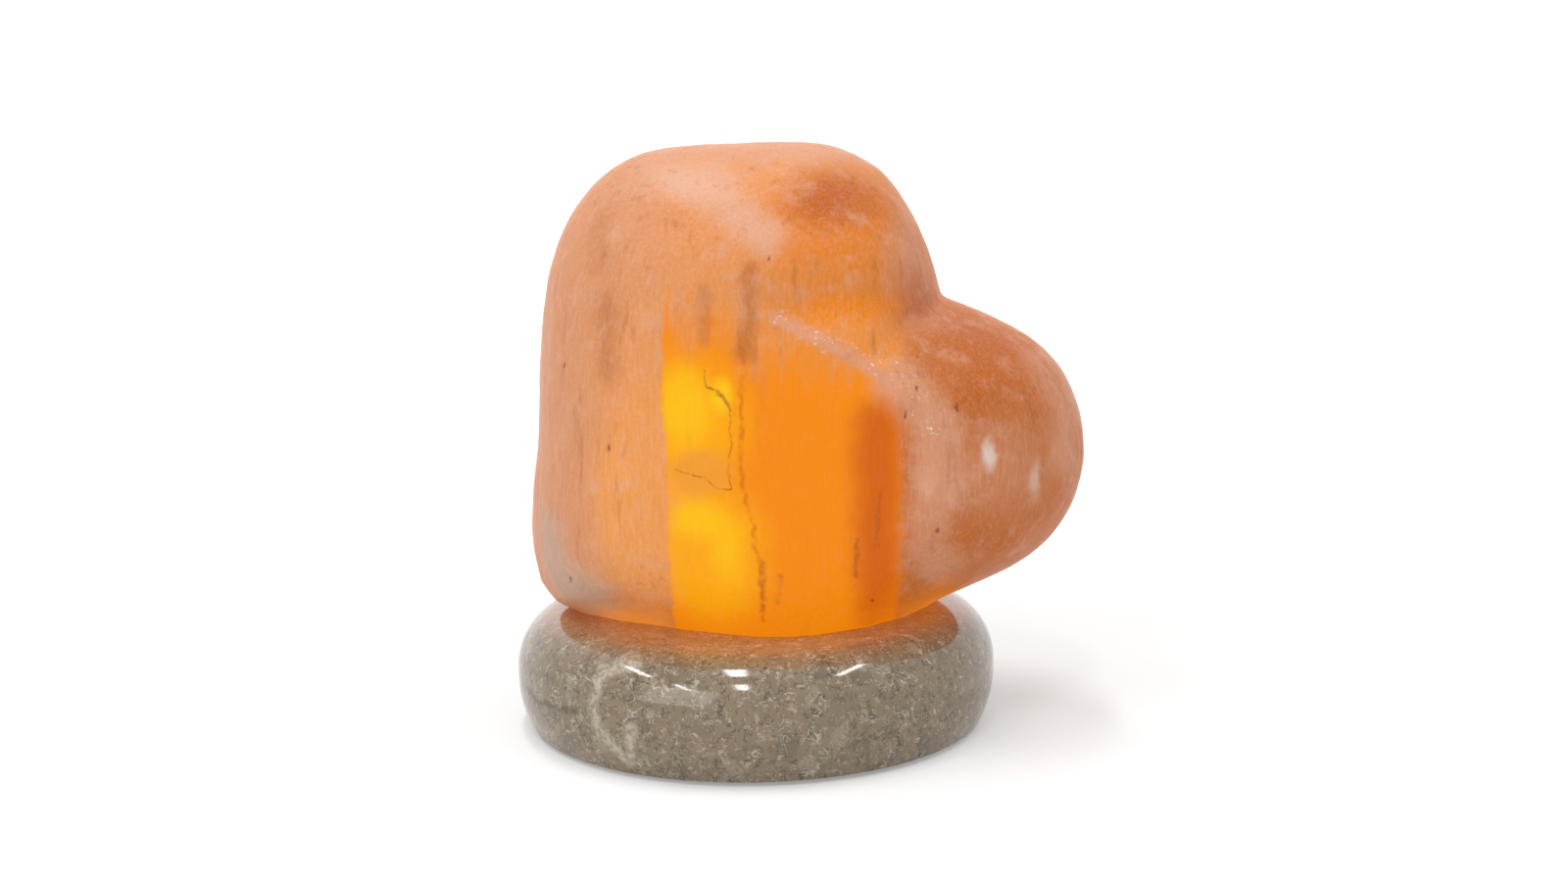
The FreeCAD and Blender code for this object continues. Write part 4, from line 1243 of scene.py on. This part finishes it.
nylon = Finish("plug_nylon")
nylon_cloud = nylon.fade(nylon.noise(nylon.place, 0.8), 0.3, 0.7)
nylon.set(Base_Color=nylon.mix(nylon_cloud, linear(222, 220, 212), linear(206, 203, 192)),
          Roughness=0.5, Normal=nylon.bump(nylon.noise(nylon.place, 4.0), 0.05 * MM, 0.4))
place_piece(pair("plugs", make_plug), nylon, "base", "screw_plugs")

# %% [markdown]
# ## The lampholder
# The holder is moulded in cream plastic. Its screwed cap has grip flutes, a wave that runs round
# the cap but doesn't climb. The gland and the shell are turned too. The ceramic carrier, the
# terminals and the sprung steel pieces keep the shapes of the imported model.

# %% Plastic finishes
def moulded(name, colour, shade, roughness):
    """Moulded plastic: an even colour with a faint cloud, and the fine skin of a worn mould."""
    finish = Finish(name)
    cloud = finish.noise(finish.place, 0.25, 3.0)
    skin = finish.noise(finish.place, 3.5, 2.0)
    finish.set(Base_Color=finish.mix(finish.fade(cloud, 0.3, 0.7), colour, shade),
               Roughness=finish.fade(skin, 0.3, 0.7, roughness * 0.85, roughness * 1.15),
               Normal=finish.bump(skin, 0.04 * MM, 0.35))
    return finish


cream = moulded("holder_plastic", linear(228, 224, 210), linear(216, 210, 192), 0.28)
black = moulded("gland_plastic", linear(38, 38, 38), linear(28, 28, 29), 0.5)

# %% Holder cap
FLUTES, flute_depth = 32, 0.5 * MM
cap_low, cap_top = heights("holder_cap")
outer, wall, edge = 13.0 * MM, 1.8 * MM, 0.5 * MM
cap_hole, cap_floor = 4.95 * MM, cap_low + 2.0 * MM
rows = np.linspace(cap_low + 2.4 * edge, cap_top - edge, 10)
cap = turned_piece("cap", [
    (cap_hole, cap_low), (outer - 2 * edge, cap_low), (outer - 0.3 * edge, cap_low + 0.6 * edge),
    (outer, cap_low + 2 * edge), *[(outer, z) for z in rows], (outer, cap_top),
    (outer - wall, cap_top), (outer - wall, cap_floor), (cap_hole, cap_floor),
    (cap_hole, cap_low)], steps=8 * FLUTES, Waves_round=FLUTES, Depth=flute_depth,
    Start=cap_low + 1.2 * MM, End=cap_top - 0.6 * MM, Ease=0.8 * MM, Beyond=12.2 * MM)
place_piece(cap, cream, "lampholder", "holder_cap")

# %% Gland and shell
gland_low, gland_top = heights("cord_gland")
cord_bore, nut, neck, nut_edge = 3.1 * MM, 5.4 * MM, 4.9 * MM, 0.3 * MM
flange = 6.5 * MM
gap = 0.05 * MM
gland = turned_piece("gland", [
    (cord_bore, gland_low + nut_edge), (cord_bore + nut_edge, gland_low), (4.1 * MM, gland_low),
    (4.4 * MM, gland_low + nut_edge), (nut, cap_low - 0.2 * MM), (nut, cap_low - gap),
    (neck, cap_low - gap), (neck, cap_floor), (flange, cap_floor), (flange, gland_top),
    (cord_bore, gland_top), (cord_bore, gland_low + nut_edge)], steps=64)
place_piece(gland, black, "lampholder", "cord_gland")

shell_low, shell_top = heights("holder_shell")
seam, lip = cap_top, 2.0 * MM                  # where the cap ends, and the shell's inner lip
spigot_in, spigot_out = 9.85 * MM, 11.15 * MM
mouth, inside = 8.3 * MM, 11.0 * MM
shell = turned_piece("shell", [
    (spigot_in, shell_low), (spigot_out, shell_low), (spigot_out, seam), (outer, seam),
    (outer, shell_top - 0.8 * MM), (outer - 0.25 * MM, shell_top - 0.25 * MM),
    (outer - 0.8 * MM, shell_top), (mouth + 0.3 * MM, shell_top), (mouth, shell_top - 0.3 * MM),
    (mouth, shell_top - lip), (inside, shell_top - lip), (inside, seam + MM),
    (spigot_in, seam + MM), (spigot_in, shell_low)], steps=128)
place_piece(shell, cream, "lampholder", "holder_shell")

# %% [markdown]
# The rest of the holder only needs a finish. The carrier is unglazed ceramic with dark specks, the
# terminals are brass, and the sprung steel is ground along the strip, so its marks run that way.

# %% Ceramic, terminals and springs
ceramic = Finish("carrier_ceramic")
speckle = ceramic.noise(ceramic.place, 3.0, 3.0, 0.7)
specks = ceramic.fade(speckle, 0.62, 0.75, 0.0, 0.5)
ceramic.set(Base_Color=ceramic.mix(specks, linear(222, 217, 204), linear(160, 150, 132)),
            Roughness=0.6, Normal=ceramic.bump(speckle, 0.06 * MM, 0.5))
brass = metal("contact_brass", (0.78, 0.56, 0.24, 1.0), 0.34)
spring = metal("spring_steel", (0.66, 0.66, 0.67, 1.0), 0.26, streak=(4.0, 0.4, 0.4), stain=0.12)
for finish, names in (
        (ceramic, ["contact_carrier"]), (steel, ["terminal_screws", "lead_wires"]),
        (brass, ["live_terminal", "neutral_terminal", "centre_contact"]),
        (spring, ["clip_band", "clip_wing_left", "clip_wing_right"])):
    for name in names:
        dress(name, finish)
    print(finish.name, "for", ", ".join(names))

# %% [markdown]
# ## The screw contact and the bulb's cap
# Both are thin brass with the same rolled thread. Wall inside and outside follow one wave, and both
# pieces use the same climb, so the bulb's thread stays in the contact's while it is unscrewed. An
# outline goes up the outer wall and back down the inner one.

# %% Screw contact
PITCH, THREAD = 2.822 * MM, 0.5 * MM
sheet_brass = 0.35 * MM


def up_and_down(radius, thickness, rows, between):
    """A thin wall: up its outside, over what lies between, and down its inside."""
    return [*[(radius, z) for z in rows], *between,
            *[(radius - thickness, z) for z in rows[::-1]]]


contact_low, contact_top = heights("screw_contact")
outside = 7.3 * MM
rows = np.linspace(contact_low + MM, contact_top - 0.3 * MM, 60)
contact = turned_piece("screw_contact_shell", [
    (outside - sheet_brass, contact_low), (9.5 * MM, contact_low),
    (9.5 * MM, contact_low + sheet_brass), (outside, contact_low + sheet_brass),
    *up_and_down(outside, sheet_brass, rows,
                 [(outside, contact_top), (outside - sheet_brass, contact_top)]),
    (outside - sheet_brass, contact_low)], steps=72, Waves_round=1, Climb=math.tau / PITCH,
    Depth=THREAD, Start=32.5 * MM, End=contact_top, Ease=MM)
place_piece(contact, brass, "lampholder", "screw_contact")

# %% Bulb cap
cap_brass = metal("cap_brass", (0.84, 0.66, 0.34, 1.0), 0.22, stain=0.18)
brass_low, brass_top = heights("bulb_cap")
outside, cap_wall = 6.6 * MM, 0.3 * MM
flare_height, flare_reach = 1.6 * MM, 0.9 * MM
flare = brass_top - flare_height
rows = np.linspace(brass_low + 0.95 * MM, flare - 0.2 * MM, 70)
bend = [(flare_reach * (1 - math.cos(turn * math.pi / 2)), flare + turn * flare_height)
        for turn in np.linspace(0.0, 1.0, 6)]
bulb_cap = turned_piece("bulb_cap_brass", [
    (5.65 * MM, brass_low), (6.1 * MM, brass_low), (6.4 * MM, brass_low + 0.4 * MM),
    *up_and_down(outside, cap_wall, rows, [
        *[(outside + out, z) for out, z in bend],
        *[(outside - cap_wall + out, z) for out, z in bend[::-1]]]),
    (5.65 * MM, brass_low + 0.9 * MM), (5.65 * MM, brass_low)], steps=72, Waves_round=1,
    Climb=math.tau / PITCH, Depth=THREAD, Start=brass_low, End=flare, Ease=0.3 * MM)
place_piece(bulb_cap, cap_brass, "bulb", "bulb_cap")

# %% [markdown]
# The bulb's lower end is a drop of solder on a black glass ring. The drop is turned from a shallow
# dome. The ring keeps its shape, with the gloss and the slight waves of poured glass.

# %% Solder and black glass
tip_low, tip_high = heights("bulb_tip")
tip = turned_piece("solder_tip", [
    (0.0, tip_low), (0.7 * MM, tip_low + 0.04 * MM), (1.6 * MM, tip_low + 0.22 * MM),
    (2.15 * MM, tip_low + 0.5 * MM), (2.3 * MM, tip_low + 0.8 * MM), (2.3 * MM, tip_high),
    (0.0, tip_high)], steps=40, sharp=50)
solder = metal("solder", (0.55, 0.55, 0.56, 1.0), 0.38, streak=(1.2, 1.2, 1.2))
place_piece(tip, solder, "bulb_foot", "bulb_tip")
jet = Finish("black_glass")
flow = jet.noise(jet.place, 1.2, 3.0)
jet.set(Base_Color=jet.mix(flow, linear(16, 16, 20), linear(30, 29, 34)), Roughness=0.08,
        Normal=jet.bump(flow, 0.05 * MM, 0.3))
dress("bulb_insulator", jet)

# %% [markdown]
# ## The glass and the filament
# The bulb is a clear pear of thin glass. Its wall has an inside and an outside, so that light bends
# on its way in and out as it does in the real one. The tungsten wire is a fine coil, hung in a bow
# between the two leads: a line whose points are moved on a screw-shaped path by a formula.

# %% Glass
neck, belly, thick = 6.1 * MM, 12.0 * MM, 0.7 * MM
glass_low, bulb_top = heights("bulb_glass")[0], 80.0 * MM
shoulder_low, shoulder_high = brass_top, brass_top + 11.0 * MM


def bulb_wall(inset):
    """The glass from its neck over the shoulder to the crown, drawn in by the inset."""
    low, wide = neck - inset, belly - inset
    outline = [(low, glass_low)]
    for share in np.linspace(0.0, 1.0, 13):
        outline.append(((low + wide) / 2 - (wide - low) / 2 * math.cos(math.pi * share),
                        shoulder_low + (shoulder_high - shoulder_low) * share))
    for turn in np.linspace(0.0, math.pi / 2, 17):
        outline.append((wide * math.cos(turn), bulb_top - belly + wide * math.sin(turn)))
    return outline[:-1] + [(0.0, outline[-1][1])]


glass = turned_piece("glass", bulb_wall(0.0) + bulb_wall(thick)[::-1] + bulb_wall(0.0)[:1],
                     steps=72, sharp=60)
clear_glass = Finish("bulb_glass")
ripple = clear_glass.noise(clear_glass.place, 0.25, 2.0)
clear_glass.set(Base_Color=(1.0, 0.985, 0.96, 1.0), Transmission_Weight=1.0, IOR=1.48,
                Roughness=clear_glass.fade(ripple, 0.3, 0.7, 0.0, 0.03),
                Normal=clear_glass.bump(ripple, 0.1 * MM, 0.2))
place_piece(glass, clear_glass, "bulb", "bulb_glass")

# %% Glass stem
stem_radius, stem_flare, flare_top = 2.2 * MM, 3.15 * MM, 4.5 * MM
stem_top = heights("bulb_stem")[1]
stem = turned_piece("stem", [
    (0.0, glass_low), (stem_radius + stem_flare, glass_low),
    *[(stem_radius + stem_flare * (1 - share) ** 2, glass_low + flare_top * share)
      for share in np.linspace(0.08, 1.0, 8)],
    (stem_radius, stem_top - 0.8 * MM), (1.8 * MM, stem_top - 0.25 * MM),
    (1.2 * MM, stem_top), (0.0, stem_top)], steps=40, sharp=60)
place_piece(stem, clear_glass, "bulb", "bulb_stem")


# %% Filament
def coil_tree():
    """A coiled wire, hung in a bow between two points at one height."""
    tree, inputs = geometry_tree("coiled bow", [
        ("Span", "Float", 0.011), ("Foot", "Float", 0.071), ("Rise", "Float", 0.003),
        ("Coil radius", "Float", 0.00018), ("Wire radius", "Float", 0.00006), ("Turns", "Int", 48),
        ("Finish", "Material", None)])
    line = add(tree, "GeometryNodeCurvePrimitiveLine").outputs[0]
    points = calc(tree, "ADD", calc(tree, "MULTIPLY", inputs["Turns"], 9.0), 1.0)
    fine = add(tree, "GeometryNodeResampleCurve", {"Curve": line, "Count": points}).outputs[0]
    share = add(tree, "GeometryNodeSplineParameter").outputs["Factor"]
    across = calc(tree, "SUBTRACT", calc(tree, "MULTIPLY", share, 2.0), 1.0)
    turn = calc(tree, "MULTIPLY", calc(tree, "MULTIPLY", share, inputs["Turns"]), math.tau)
    arch = calc(tree, "SUBTRACT", 1.0, calc(tree, "MULTIPLY", across, across))
    height = calc(tree, "ADD", inputs["Foot"], calc(tree, "MULTIPLY", arch, inputs["Rise"]))
    radius = inputs["Coil radius"]
    up = calc(tree, "MULTIPLY", radius, calc(tree, "SINE", turn))
    place = add(tree, "ShaderNodeCombineXYZ", {
        "X": calc(tree, "MULTIPLY", across, calc(tree, "MULTIPLY", inputs["Span"], 0.5)),
        "Y": calc(tree, "MULTIPLY", radius, calc(tree, "COSINE", turn)),
        "Z": calc(tree, "ADD", height, up)})
    path = add(tree, "GeometryNodeSetPosition", {"Geometry": fine, "Position": place.outputs[0]})
    ring = add(tree, "GeometryNodeCurvePrimitiveCircle",
               {"Resolution": 5, "Radius": inputs["Wire radius"]}, mode="RADIUS").outputs["Curve"]
    wire = add(tree, "GeometryNodeCurveToMesh",
               {"Curve": path.outputs[0], "Profile Curve": ring, "Fill Caps": True}).outputs[0]
    finish_tree(tree, wire, inputs["Finish"])
    return tree


filament_low, filament_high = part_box("filament")
tungsten = Finish("filament_wire")
heat = tungsten.fade(tungsten.math("ABSOLUTE", tungsten.parts(tungsten.place)[0]), 5.6, 2.0)
tungsten.set(Base_Color=linear(120, 110, 100), Metallic=1.0, Roughness=0.4,
             Emission_Color=tungsten.mix(heat, linear(255, 120, 30), linear(255, 205, 120)),
             Emission_Strength=tungsten.fade(heat, 0.0, 1.0, 0.6, 4.0))
filament = new_piece("filament_coil")
give_tree(filament, coil_tree(), Span=filament_high.x - filament_low.x - 0.3 * MM,
          Foot=filament_low.z + 0.25 * MM, Rise=filament_high.z - filament_low.z - 0.5 * MM,
          Coil_radius=0.18 * MM, Wire_radius=0.06 * MM, Turns=48, Finish=tungsten.material)
settle(filament, 60)
place_piece(filament, tungsten, "bulb", "filament")

# %% [markdown]
# ## Sizes and the end
# At last the sizes of the imported model and of the dressed one are put side by side, and the
# dressed one's box is printed.

# %% Sizes and end
size = {"cad": cad_box, "visual": [list(corner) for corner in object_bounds()]}
print("visual box", [[round(v / MM, 1) for v in corner] for corner in size["visual"]])
